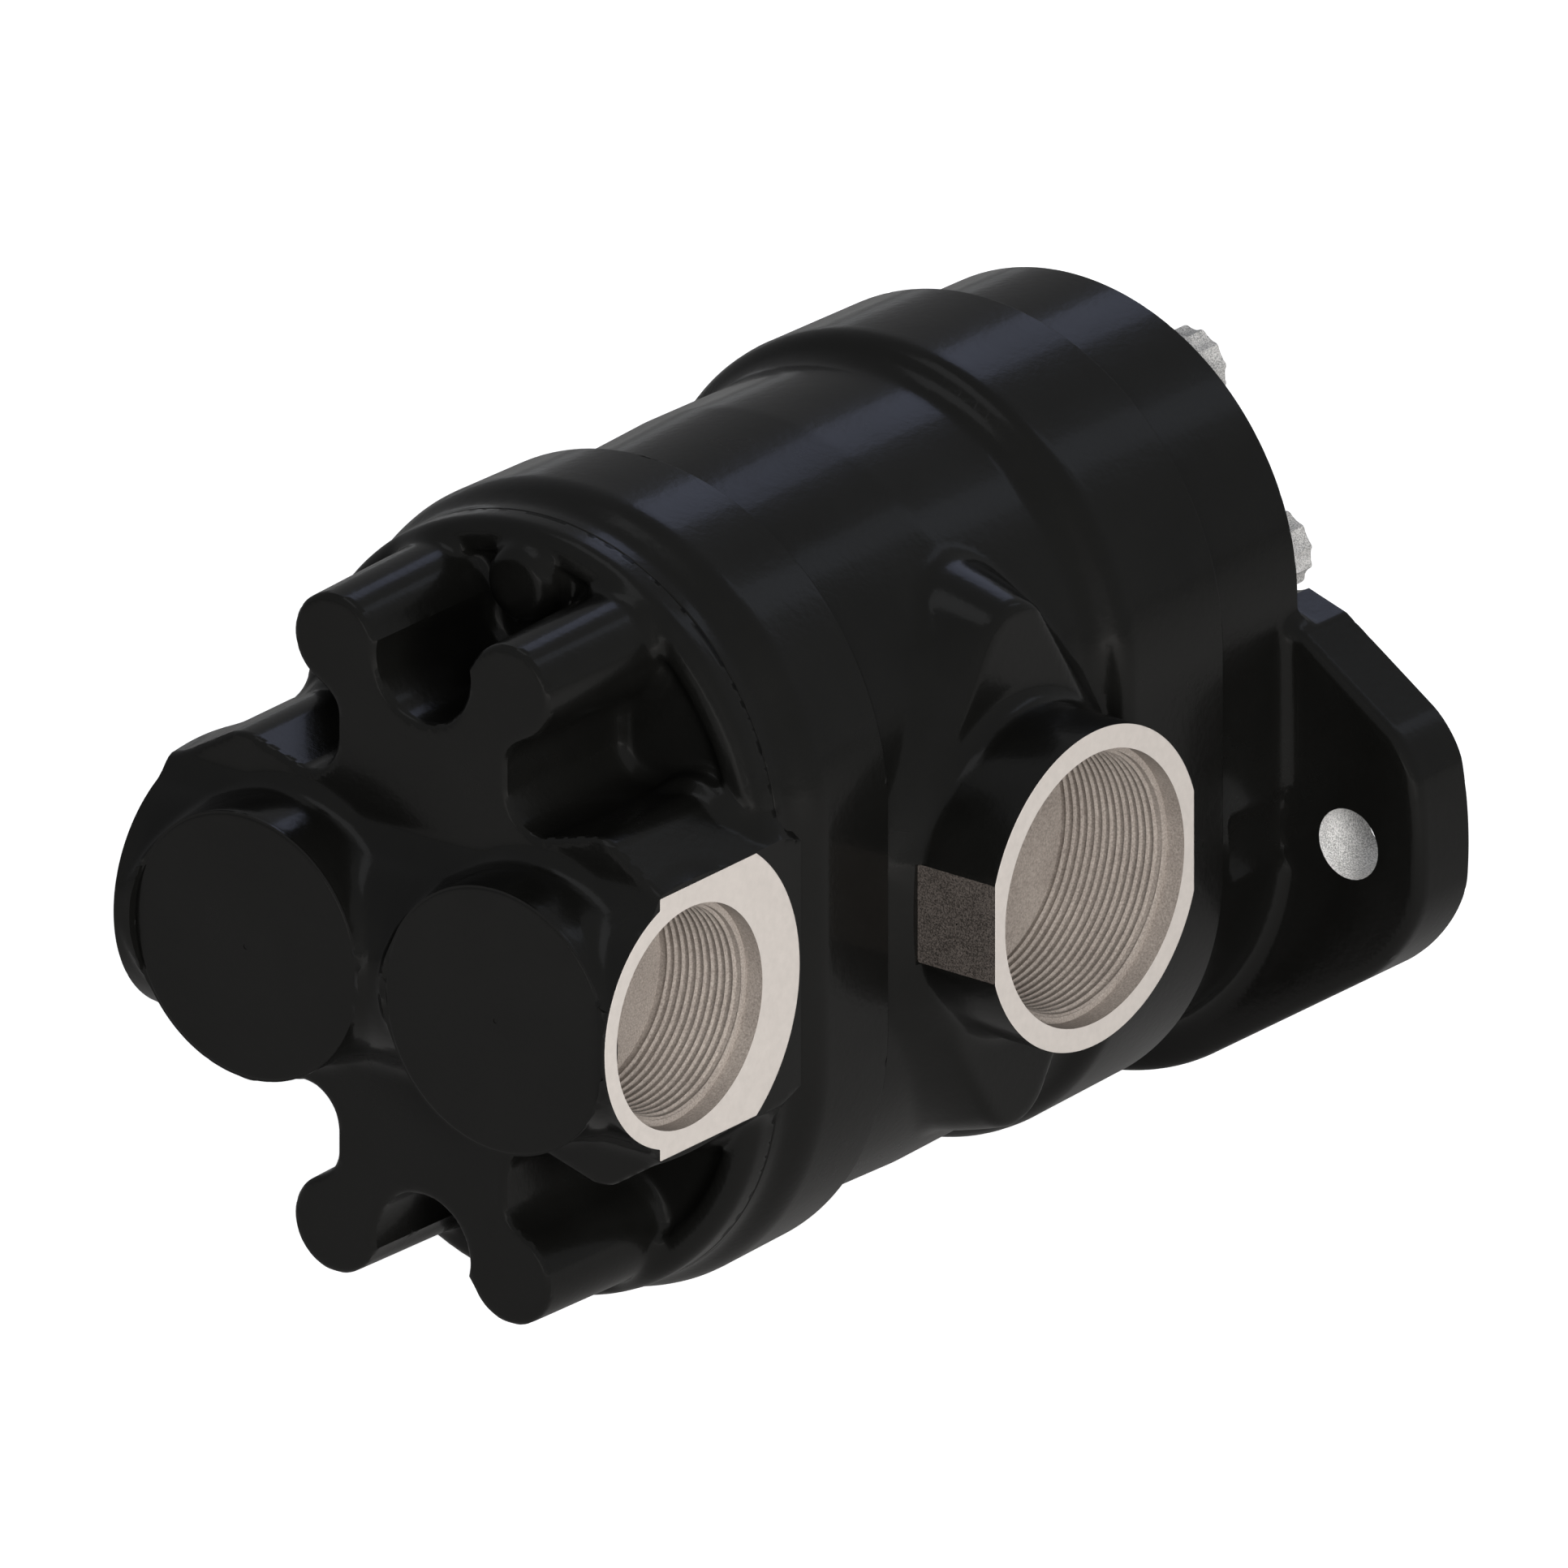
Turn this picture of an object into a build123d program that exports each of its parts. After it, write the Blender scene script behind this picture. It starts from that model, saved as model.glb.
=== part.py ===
from build123d import *
import math
import os

# Tandem external gear pump with a two-bolt mounting flange. All lengths in millimetres.
# The origin is the pilot's centre on the mounting face, on the drive axis. The shaft points
# along +Y, the inlet port faces +X and the driven axis lies above the drive axis.
# A depth is a distance behind the mounting face, so a point at depth d has y = -d.

# Gear sets
GEAR_TEETH = 12
CENTRE_DISTANCE = 35.6
PRESSURE_ANGLE = 25.0
ADDENDUM = 2.8
DEDENDUM = 3.5
BACKLASH = 0.4
FLANK_POINTS = 5

# Stack of castings, each from joint to joint
FLANGE_LENGTH = 31.1
FRONT_HOUSING_LENGTH = 80.7
REAR_HOUSING_LENGTH = 24.2
COVER_LENGTH = 42.8
CENTRE_WALL = 27.1

# Outer surfaces of the stack, as radii about the two gear axes
DRAFT_ANGLE = 1.5
FLANGE_BODY_RADIUS = 41.35
FLANGE_BODY_SETBACK = 8.8
FRONT_RING_RADIUS = 45.6
FRONT_RING_LENGTH = 23.4
FRONT_RING_SLOPE = 3.6
MIDDLE_RADIUS = 42.6
REAR_RING_RADIUS = 45.7
REAR_RING_LENGTH = 18.3
REAR_NECK_LENGTH = 3.6
EDGE_ROUNDING = 2.4
NECK_ROUNDING = 1.2
JOINT_EDGE_ROUNDING = 0.4
BODY_EDGE_ROUNDING = 0.8
COVER_RADIUS = 43.4
CASTING_FIT = 0.05
OVERSHOOT = 1.0

# Mounting flange
EAR_THICKNESS = 11.6
EAR_TIP_WALL = 13.6
EAR_SLOPE = 33.4
EAR_LOWER_OFFSET = 48.6
EAR_UPPER_OFFSET = 50.0
EAR_CORNER_RADIUS = 7.5
EAR_SHOULDER_X = 43.75
EAR_EDGE_ROUNDING = 1.5
HUB_FOOT_RADIUS = 2.4
MOUNTING_HOLE_SPACING = 106.4
MOUNTING_HOLE_RADIUS = 5.55
SPOTFACE_RADIUS = 13.0
SPOTFACE_LENGTH = 13.9
PILOT_RADIUS = 41.275
PILOT_LENGTH = 6.35
PILOT_CHAMFER = 0.8

# Drive shaft, keyway and seal
SHAFT_RADIUS = 9.525
SHAFT_EXTENSION = 31.75
SHAFT_CHAMFER = 1.0
SHOULDER_AHEAD = 7.0
JOURNAL_RADIUS = 11.1
JOURNAL_CLEARANCE = 0.05
KEYWAY_WIDTH = 4.8
KEYWAY_DEPTH = 2.4
KEYWAY_LENGTH = 21.5
SEAL_OUTER_RADIUS = 19.0
SEAL_LENGTH = 7.5
SEAL_FLOOR_DEPTH = 3.0
SEAL_BORE_CLEARANCE = 1.0
SEAL_WALL = 1.6
SEAL_LIP = 3.0
RETAINING_RING_THICKNESS = 1.2
RETAINING_RING_WIDTH = 2.6
RETAINING_RING_GROOVE = 1.0
RETAINING_RING_GAP = 26.0
RETAINING_RING_EAR_RADIUS = 2.2
RETAINING_RING_HOLE_RADIUS = 0.9

# Bushings and thrust plates
BUSHING_WALL = 2.5
FLANGE_BUSHING_LENGTH = 16.0
CENTRE_BUSHING_GAP = 3.9
COVER_BUSHING_LENGTH = 12.5
BUSHING_END_GAP = 0.6
FIT_CLEARANCE = 0.02
FRONT_PLATE_THICKNESS = 4.0
REAR_PLATE_THICKNESS = 3.0
PLATE_RELIEF_WIDTH = 6.0
AXIAL_CLEARANCE = 0.15
TIP_CLEARANCE = 0.4
PLATE_CLEARANCE = 0.05

# Splined connecting shaft
SPLINE_TEETH = 10
SPLINE_ROOT_RADIUS = 5.4
SPLINE_TIP_RADIUS = 6.4
SPLINE_TOOTH_WIDTH = 1.8
SPLINE_CLEARANCE = 0.05
SPLINE_ENGAGEMENT = 14.0
SPLINE_END_GAP = 0.5

# Cap screws, washers, dowels and section seals
SCREW_RADIUS = 5.55
SCREW_HOLE_RADIUS = 5.8
SCREW_THREAD_FIT = 0.02
SCREW_HEAD_RADIUS = 6.3
SCREW_FLANGE_RADIUS = 6.6
SCREW_FLANGE_HEIGHT = 1.2
SCREW_HEAD_HEIGHT = 5.6
SCREW_HEAD_CHAMFER = 0.5
SCREW_POINT_CHAMFER = 1.0
WASHER_RADIUS = 7.0
WASHER_THICKNESS = 1.6
HEAD_POCKET_GAP = 0.4
LUG_X = 16.5
LUG_SEAL_WALL = 0.7785
SIDE_SCREW_HEIGHT = 21.7
SIDE_SEAL_WALL = 0.4317
SCREW_BLIND_GAP = 0.5
LUG_END_WALL = 3.5
SIDE_BOSS_RADIUS = 8.0
DOWEL_HEIGHT = 52.5
DOWEL_RADIUS = 3.0
DOWEL_LENGTH = 14.0
DOWEL_END_GAP = 0.4
DOWEL_BOSS_RADIUS = 6.0
SEAL_CORD = 1.8
SEAL_POCKET_WALL = 3.9
SEAL_GROOVE_DEPTH = 1.7

# Inlet port on the front housing
PORT_SETBACK = 29.0
INLET_FACE_X = 61.3
INLET_BOSS_RADIUS = 25.2
INLET_BOSS_FLAT = 23.9
INLET_THREAD_RADIUS = 20.64
INLET_THREAD_LENGTH = 19.2
INLET_COUNTERBORE_RADIUS = 21.6
INLET_COUNTERBORE_DEPTH = 3.3
INLET_PASSAGE_RADIUS = 10.0
PASSAGE_END_X = 17.0
BOSS_FOOT_RADIUS = 3.0
PAD_FACE_X = 46.5
PAD_ROOT_X = 30.0
PAD_FACE_APEX = 47.3
PAD_FACE_SIDE = 24.2
PAD_FACE_SIDE_HEIGHT = 9.0
PAD_FACE_APEX_ROUNDING = 5.7
PAD_ROOT_APEX = 46.6
PAD_ROOT_SIDE = 44.0
PAD_ROOT_SIDE_HEIGHT = 17.0
PAD_ROOT_APEX_ROUNDING = 12.0
PAD_SIDE_ROUNDING = 3.0

# Outlet ports: one in the rear cover, one on the front housing's far side
OUTLET_THREAD_RADIUS = 16.67
OUTLET_THREAD_LENGTH = 15.6
OUTLET_COUNTERBORE_RADIUS = 17.6
OUTLET_COUNTERBORE_DEPTH = 3.1
OUTLET_PASSAGE_RADIUS = 8.0
OUTLET_BOSS_RADIUS = 20.6
FAR_OUTLET_FACE_X = 54.0
FEED_X = 19.5
FEED_RADIUS = 5.0
CHAMBER_END_X = 5.0

# Rear port cover
WEB_DEPTH = 12.1
COVER_BASE_THICKNESS = 3.5
RIM_HEIGHT = 5.3
RIM_WIDTH = 4.6
RIM_ROUNDING = 2.5
RIM_INNER_ROUNDING = 1.0
LUG_RADIUS = 7.6
LUG_DRAFT = 1.2
NECK_HALF_WIDTH = 15.9
NECK_FILLET = 4.0
WAIST_FILLET = 6.6
WAIST_HALF_HEIGHT = 25.0
WAIST_HALF_WIDTH = 28.0
WEB_EDGE_ROUNDING = 0.8
BAR_AXIS_DEPTH = 19.2
BAR_RADIUS = 20.4
BAR_WAIST_RADIUS = 18.8
BLOCK_FACE_X = 45.5
BLOCK_FACE_HEIGHT = 20.95
FAR_BLOCK_FACE_X = 47.6
FAR_BLOCK_FACE_HEIGHT = 20.4
BLOCK_ROOT_X = 20.0
BLOCK_RIDGE_X = 34.3
BLOCK_RIDGE_HEIGHT = 28.4
BLOCK_RIDGE_ROUNDING = 2.0
BLOCK_OVERHANG = 3.2
BLOCK_TAPER = 18.0
BLOCK_TAPER_LENGTH = 4.4
PORT_SPOTFACE_RADIUS = 26.5
PORT_SPOTFACE_DEPTH = 0.3
DISC_X = 23.6
DISC_RADIUS = 21.1
DISC_EDGE_ROUNDING = 0.9
DOWEL_BOSS_HEIGHT = 8.0
DOWEL_BOSS_ROUNDING = 1.0
DOWEL_RIB_WIDTH = 5.0

# Worked out from the sizes above
MID_Z = CENTRE_DISTANCE / 2
JOINT_1 = FLANGE_LENGTH
JOINT_2 = JOINT_1 + FRONT_HOUSING_LENGTH
JOINT_3 = JOINT_2 + REAR_HOUSING_LENGTH
COVER_END = JOINT_3 + COVER_LENGTH
WEB_PLANE = COVER_END - WEB_DEPTH
BAR_AXIS = COVER_END - BAR_AXIS_DEPTH
PORT_DEPTH = JOINT_2 - PORT_SETBACK
EAR_TIP_RADIUS = MOUNTING_HOLE_SPACING / 2 + EAR_TIP_WALL
PITCH_RADIUS = CENTRE_DISTANCE / 2
TIP_RADIUS = PITCH_RADIUS + ADDENDUM
POCKET_RADIUS = TIP_RADIUS + TIP_CLEARANCE
BUSHING_INNER_RADIUS = JOURNAL_RADIUS + JOURNAL_CLEARANCE
BUSHING_OUTER_RADIUS = BUSHING_INNER_RADIUS + BUSHING_WALL
BUSHING_BORE_RADIUS = BUSHING_OUTER_RADIUS + FIT_CLEARANCE
CENTRE_BUSHING_LENGTH = (CENTRE_WALL - CENTRE_BUSHING_GAP) / 2
FRONT_POCKET_END = JOINT_2 - CENTRE_WALL
REAR_GEAR_WIDTH = REAR_HOUSING_LENGTH - 2 * REAR_PLATE_THICKNESS - 4 * AXIAL_CLEARANCE
FRONT_GEAR_START = JOINT_1 + FRONT_PLATE_THICKNESS + 2 * AXIAL_CLEARANCE
FRONT_GEAR_END = FRONT_POCKET_END - FRONT_PLATE_THICKNESS - 2 * AXIAL_CLEARANCE
REAR_GEAR_START = JOINT_2 + REAR_PLATE_THICKNESS + 2 * AXIAL_CLEARANCE
REAR_GEAR_END = REAR_GEAR_START + REAR_GEAR_WIDTH
SCREW_SEAT = FLANGE_BODY_SETBACK - WASHER_THICKNESS
HEAD_POCKET_RADIUS = WASHER_RADIUS + HEAD_POCKET_GAP
SEAL_GROOVE_RADIUS = POCKET_RADIUS + SEAL_POCKET_WALL
SCREW_REACH = SEAL_GROOVE_RADIUS + SEAL_CORD + SCREW_HOLE_RADIUS
LUG_HEIGHT = MID_Z + math.sqrt((SCREW_REACH + LUG_SEAL_WALL) ** 2 - LUG_X ** 2)
SIDE_SCREW_X = math.sqrt((SCREW_REACH + SIDE_SEAL_WALL) ** 2 - (SIDE_SCREW_HEIGHT - MID_Z) ** 2)
NOTCH_RADIUS = LUG_X - LUG_RADIUS
NECK_FILLET_X = NECK_HALF_WIDTH + NECK_FILLET
NECK_TOP = LUG_HEIGHT - math.sqrt((LUG_RADIUS + NECK_FILLET) ** 2 - (NECK_FILLET_X - LUG_X) ** 2)
WAIST_ROUNDING = min(WAIST_FILLET, NECK_TOP - WAIST_HALF_HEIGHT - WEB_EDGE_ROUNDING)
BORE_FLOOR_GAP = BUSHING_END_GAP + AXIAL_CLEARANCE
SHOULDER_DEPTH = -SHOULDER_AHEAD

LUG_SCREWS = [(x, MID_Z + z) for x in (-LUG_X, LUG_X) for z in (-LUG_HEIGHT, LUG_HEIGHT)]
SIDE_SCREWS = [(x, MID_Z + z) for x in (-SIDE_SCREW_X, SIDE_SCREW_X)
               for z in (-SIDE_SCREW_HEIGHT, SIDE_SCREW_HEIGHT)]
DOWELS = [(0, MID_Z - DOWEL_HEIGHT), (0, MID_Z + DOWEL_HEIGHT)]
DISCS = [(-DISC_X, MID_Z), (DISC_X, MID_Z)]
AXES = {"drive": 0.0, "driven": CENTRE_DISTANCE}


# Basic solids in the pump's own directions

def slab(sketch, start, end):
    # A sketch drawn in X and Z, carried from one depth to another.
    return extrude(Plane.XZ.offset(start) * sketch, end - start)


def rod(radius, start, end, x=0.0, z=0.0):
    return slab(Pos(x, z) * Circle(radius), start, end)


def rods(radius, start, end, places):
    return slab(Sketch() + [Pos(x, z) * Circle(radius) for x, z in places], start, end)


def cross_slab(sketch, x_start, x_end):
    # A sketch drawn in Y and Z, carried along X.
    return extrude(Plane.YZ.offset(x_start) * sketch, x_end - x_start)


def cross_rod(radius, x_start, x_end, depth):
    return cross_slab(Pos(-depth, MID_Z) * Circle(radius), x_start, x_end)


def block(x_start, x_end, depth_start, depth_end, z_start, z_end):
    size = (x_end - x_start, depth_end - depth_start, z_end - z_start)
    centre = ((x_start + x_end) / 2, -(depth_start + depth_end) / 2, (z_start + z_end) / 2)
    return Pos(*centre) * Box(*size)


def between_joints(start, end):
    # Everything that a casting may fill between its two joint faces.
    reach = 2 * INLET_FACE_X
    return block(-reach, reach, start, end, MID_Z - reach, MID_Z + reach)


def obround(radius):
    return Pos(0, MID_Z) * SlotCenterToCenter(CENTRE_DISTANCE, 2 * radius, rotation=90)


def figure_eight(radius):
    return Circle(radius) + Pos(0, CENTRE_DISTANCE) * Circle(radius)


def profile_face(outline):
    # Corners as (radius, depth, rounding), drawn beside the drive axis.
    face = make_face(Polyline([(r, -depth) for r, depth, rounding in outline], close=True))
    for r, depth, rounding in outline:
        if rounding:
            corner = face.vertices().sort_by_distance((r, -depth, 0))[0]
            face = fillet(corner, rounding)
    return face


def turned_obround(outline):
    # A turned outline split along the line of the two axes and stretched between them.
    face = profile_face(outline)
    lower = revolve(face, Axis.Y, 180)
    upper = mirror(lower, about=Plane.XY.offset(MID_Z))
    middle = extrude(face + mirror(face, about=Plane.YZ), CENTRE_DISTANCE, dir=(0, 0, 1))
    return lower + middle + upper


def turned(outline):
    return revolve(profile_face(outline), Axis.Y)


# Gears

def involute(angle):
    return math.tan(angle) - angle


def gear_sketch():
    pressure = math.radians(PRESSURE_ANGLE)
    base_radius = PITCH_RADIUS * math.cos(pressure)
    root_radius = PITCH_RADIUS - DEDENDUM
    thickness = math.pi * PITCH_RADIUS / GEAR_TEETH - BACKLASH / 2
    half_at_base = thickness / (2 * PITCH_RADIUS) + involute(pressure)
    pitch = 2 * math.pi / GEAR_TEETH

    def point(radius, angle):
        return (radius * math.cos(angle), radius * math.sin(angle))

    def half_angle(radius):
        return half_at_base - involute(math.acos(min(1.0, base_radius / radius)))

    steps = [i / (FLANK_POINTS - 1) for i in range(FLANK_POINTS)]
    radii = [base_radius + (TIP_RADIUS - base_radius) * s * s for s in steps]
    edges = []
    for tooth in range(GEAR_TEETH):
        centre = tooth * pitch
        rising = [point(r, centre - half_angle(r)) for r in radii]
        falling = [point(r, centre + half_angle(r)) for r in reversed(radii)]
        root_out = point(root_radius, centre - half_at_base)
        root_in = point(root_radius, centre + half_at_base)
        next_root = point(root_radius, centre + pitch - half_at_base)
        edges += [Line(root_out, rising[0]), Spline(rising)]
        edges += [ThreePointArc(rising[-1], point(TIP_RADIUS, centre), falling[0])]
        edges += [Spline(falling), Line(falling[-1], root_in)]
        edges += [ThreePointArc(root_in, point(root_radius, centre + pitch / 2), next_root)]
    return make_face(edges)


def gear(start, end, axis, turn=0.0):
    return slab(Pos(0, AXES[axis]) * Rot(0, 0, turn) * gear_sketch(), start, end)


def spline_sketch(clearance):
    tooth = Rectangle(2 * (SPLINE_TIP_RADIUS + clearance), SPLINE_TOOTH_WIDTH + 2 * clearance)
    teeth = [Rot(0, 0, 360 * i / SPLINE_TEETH) * tooth for i in range(SPLINE_TEETH // 2)]
    return Circle(SPLINE_ROOT_RADIUS + clearance) + teeth


# Mounting flange

def ear_outline():
    slope = math.radians(EAR_SLOPE)
    normal = (math.sin(slope), math.cos(slope))

    def edge_z(x, offset):
        return (offset - normal[0] * x) / normal[1]

    shoulder_z = edge_z(EAR_SHOULDER_X, EAR_UPPER_OFFSET)
    lower_x, lower_z = EAR_LOWER_OFFSET * normal[0], EAR_LOWER_OFFSET * normal[1]
    crossing = ((EAR_UPPER_OFFSET + EAR_LOWER_OFFSET) / (2 * normal[0]),
                (EAR_UPPER_OFFSET - EAR_LOWER_OFFSET) / (2 * normal[1]))
    side = [(0, 0), (lower_x, -lower_z), crossing, (EAR_SHOULDER_X, shoulder_z),
            (0, shoulder_z + EAR_SHOULDER_X * math.tan(slope / 2))]
    ear = make_face(Polyline(side, close=True)) & Circle(EAR_TIP_RADIUS)
    tips = ear.vertices().sort_by(Axis.X)[-2:]
    ear = fillet(tips, EAR_CORNER_RADIUS)
    plate = ear + mirror(ear, about=Plane.YZ) + Circle(EAR_LOWER_OFFSET)
    heads = [Pos(x, z) * Circle(HEAD_POCKET_RADIUS) for x, z in SIDE_SCREWS if z > MID_Z]
    return plate - heads


def make_mounting_flange():
    outline = ear_outline()
    rear_radius = FLANGE_BODY_RADIUS + (JOINT_1 - FLANGE_BODY_SETBACK) * math.tan(math.radians(DRAFT_ANGLE))
    body = turned_obround([(0, FLANGE_BODY_SETBACK, 0),
                           (FLANGE_BODY_RADIUS, FLANGE_BODY_SETBACK, BODY_EDGE_ROUNDING),
                           (rear_radius, JOINT_1, JOINT_EDGE_ROUNDING), (0, JOINT_1, 0)])
    plate = slab(outline, 0, EAR_THICKNESS)
    rear_edges = plate.edges().group_by(Axis.Y)[0]
    plate = fillet(rear_edges, EAR_EDGE_ROUNDING)
    foot_end = EAR_THICKNESS + HUB_FOOT_RADIUS
    foot_radius = FLANGE_BODY_RADIUS + HUB_FOOT_RADIUS
    foot = slab(obround(foot_radius), EAR_THICKNESS, foot_end) & slab(outline, EAR_THICKNESS, foot_end)
    pilot = turned([(0, -PILOT_LENGTH, 0), (PILOT_RADIUS - PILOT_CHAMFER, -PILOT_LENGTH, 0),
                    (PILOT_RADIUS, PILOT_CHAMFER - PILOT_LENGTH, 0), (PILOT_RADIUS, 0, 0), (0, 0, 0)])
    flange = body + plate + foot + pilot
    holes = [(side * MOUNTING_HOLE_SPACING / 2, 0) for side in (-1, 1)]
    flange -= rods(MOUNTING_HOLE_RADIUS, -OVERSHOOT, EAR_THICKNESS + OVERSHOOT, holes)
    flange -= rods(SPOTFACE_RADIUS, EAR_THICKNESS, EAR_THICKNESS + SPOTFACE_LENGTH, holes)
    flange -= rods(SCREW_HOLE_RADIUS, FLANGE_BODY_SETBACK - OVERSHOOT, JOINT_1 + OVERSHOOT,
                   LUG_SCREWS + SIDE_SCREWS)
    low_screws = [(x, z) for x, z in LUG_SCREWS + SIDE_SCREWS if z < MID_Z]
    flange -= rods(HEAD_POCKET_RADIUS, -PILOT_LENGTH - OVERSHOOT, FLANGE_BODY_SETBACK, low_screws)
    flange -= rod(SEAL_OUTER_RADIUS + FIT_CLEARANCE, -PILOT_LENGTH - OVERSHOOT, SEAL_FLOOR_DEPTH)
    ring_start = SEAL_FLOOR_DEPTH - SEAL_LENGTH - RETAINING_RING_THICKNESS - 2 * FIT_CLEARANCE
    flange -= rod(SEAL_OUTER_RADIUS + RETAINING_RING_GROOVE, ring_start, SEAL_FLOOR_DEPTH - SEAL_LENGTH)
    bore_start = JOINT_1 - FLANGE_BUSHING_LENGTH - BORE_FLOOR_GAP
    flange -= rod(JOURNAL_RADIUS + SEAL_BORE_CLEARANCE, SEAL_FLOOR_DEPTH - OVERSHOOT, JOINT_1 + OVERSHOOT)
    flange -= slab(figure_eight(BUSHING_BORE_RADIUS), bore_start, JOINT_1 + OVERSHOOT)
    flange -= dowel_holes(JOINT_1)
    return flange


# Housings

def dowel_holes(joint):
    reach = DOWEL_LENGTH / 2 + DOWEL_END_GAP
    return rods(DOWEL_RADIUS + FIT_CLEARANCE, joint - reach, joint + reach, DOWELS)


def seal_groove(joint):
    ring = obround(SEAL_GROOVE_RADIUS + SEAL_CORD) - obround(SEAL_GROOVE_RADIUS)
    return slab(ring, joint, joint + SEAL_GROOVE_DEPTH)


def pad_sketch(apex, side, side_height, apex_rounding):
    corners = [(0, apex), (side, side_height), (side, -side_height),
               (0, -apex), (-side, -side_height), (-side, side_height)]
    face = make_face(Polyline(corners, close=True))
    for index, corner in enumerate(corners):
        rounding = apex_rounding if index % 3 == 0 else PAD_SIDE_ROUNDING
        face = fillet(face.vertices().sort_by_distance((*corner, 0))[0], rounding)
    return Pos(-PORT_DEPTH, MID_Z) * face


def make_pad():
    face = Plane.YZ.offset(PAD_FACE_X) * pad_sketch(
        PAD_FACE_APEX, PAD_FACE_SIDE, PAD_FACE_SIDE_HEIGHT, PAD_FACE_APEX_ROUNDING)
    root = Plane.YZ.offset(PAD_ROOT_X) * pad_sketch(
        PAD_ROOT_APEX, PAD_ROOT_SIDE, PAD_ROOT_SIDE_HEIGHT, PAD_ROOT_APEX_ROUNDING)
    pad = loft([root, face], ruled=True)
    return pad & between_joints(JOINT_1, JOINT_2)


def port_boss(radius, seat_x, face_x, root_x):
    # A turned boss with a concave foot, lying along X.
    foot = [(root_x, 0), (root_x, radius + BOSS_FOOT_RADIUS), (seat_x, radius + BOSS_FOOT_RADIUS)]
    foot_line = Polyline(foot)
    bend = math.sqrt(0.5) * BOSS_FOOT_RADIUS
    foot_arc = ThreePointArc(foot[-1], (seat_x + BOSS_FOOT_RADIUS - bend, radius + BOSS_FOOT_RADIUS - bend),
                             (seat_x + BOSS_FOOT_RADIUS, radius))
    top_line = Polyline([(seat_x + BOSS_FOOT_RADIUS, radius), (face_x, radius), (face_x, 0), (root_x, 0)])
    face = make_face([foot_line, foot_arc, top_line])
    return Pos(0, -PORT_DEPTH, MID_Z) * revolve(face, Axis.X)


def port_bore(thread_radius, thread_length, counterbore_radius, counterbore_depth, face_x, depth):
    thread_end = face_x - counterbore_depth - thread_length
    bore = cross_rod(thread_radius, thread_end, face_x, depth)
    return bore + cross_rod(counterbore_radius, face_x - counterbore_depth, face_x + OVERSHOOT, depth)


def make_front_housing():
    ring_end = JOINT_1 + FRONT_RING_LENGTH
    slope = math.tan(math.radians(DRAFT_ANGLE))
    outline = [(0, JOINT_1, 0), (FRONT_RING_RADIUS - FRONT_RING_LENGTH * slope, JOINT_1, JOINT_EDGE_ROUNDING),
               (FRONT_RING_RADIUS, ring_end, EDGE_ROUNDING),
               (MIDDLE_RADIUS - (PORT_DEPTH - ring_end - FRONT_RING_SLOPE) * slope,
                ring_end + FRONT_RING_SLOPE, EDGE_ROUNDING),
               (MIDDLE_RADIUS, PORT_DEPTH, 0),
               (MIDDLE_RADIUS - (JOINT_2 - PORT_DEPTH) * slope, JOINT_2, JOINT_EDGE_ROUNDING), (0, JOINT_2, 0)]
    housing = turned_obround(outline)
    flats = block(0, INLET_FACE_X + OVERSHOOT, PORT_DEPTH - INLET_BOSS_FLAT, PORT_DEPTH + INLET_BOSS_FLAT,
                  MID_Z - INLET_FACE_X, MID_Z + INLET_FACE_X)
    housing += make_pad()
    housing += port_boss(INLET_BOSS_RADIUS, PAD_FACE_X, INLET_FACE_X, PAD_ROOT_X) & flats
    far_boss = port_boss(OUTLET_BOSS_RADIUS, MIDDLE_RADIUS, FAR_OUTLET_FACE_X, PAD_ROOT_X)
    housing += mirror(far_boss, about=Plane.YZ)
    housing &= between_joints(JOINT_1, JOINT_2)

    housing -= slab(figure_eight(POCKET_RADIUS), JOINT_1 - OVERSHOOT, FRONT_POCKET_END)
    housing -= slab(figure_eight(BUSHING_BORE_RADIUS), FRONT_POCKET_END - OVERSHOOT, JOINT_2 + OVERSHOOT)
    housing -= port_bore(INLET_THREAD_RADIUS, INLET_THREAD_LENGTH, INLET_COUNTERBORE_RADIUS,
                         INLET_COUNTERBORE_DEPTH, INLET_FACE_X, PORT_DEPTH)
    housing -= cross_rod(INLET_PASSAGE_RADIUS, PASSAGE_END_X, INLET_FACE_X - OVERSHOOT, PORT_DEPTH)
    outlet = port_bore(OUTLET_THREAD_RADIUS, OUTLET_THREAD_LENGTH, OUTLET_COUNTERBORE_RADIUS,
                       OUTLET_COUNTERBORE_DEPTH, FAR_OUTLET_FACE_X, PORT_DEPTH)
    outlet += cross_rod(OUTLET_PASSAGE_RADIUS, PASSAGE_END_X, FAR_OUTLET_FACE_X - OVERSHOOT, PORT_DEPTH)
    housing -= mirror(outlet, about=Plane.YZ)
    chamber_start = FRONT_POCKET_END - FRONT_PLATE_THICKNESS - INLET_PASSAGE_RADIUS
    for side, radius in ((1, INLET_PASSAGE_RADIUS), (-1, OUTLET_PASSAGE_RADIUS)):
        reach = side * (PASSAGE_END_X + OVERSHOOT)
        inner = side * CHAMBER_END_X
        housing -= block(min(inner, reach), max(inner, reach), chamber_start, FRONT_POCKET_END,
                         MID_Z - radius / 2, MID_Z + radius / 2)
    housing -= rod(FEED_RADIUS, PORT_DEPTH, JOINT_2 + OVERSHOOT, FEED_X, MID_Z)
    housing -= rods(SCREW_HOLE_RADIUS, JOINT_1 - OVERSHOOT, JOINT_2 + OVERSHOOT, LUG_SCREWS + SIDE_SCREWS)
    housing -= dowel_holes(JOINT_1)
    housing -= dowel_holes(JOINT_2)
    housing -= seal_groove(JOINT_1)
    return housing


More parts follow.
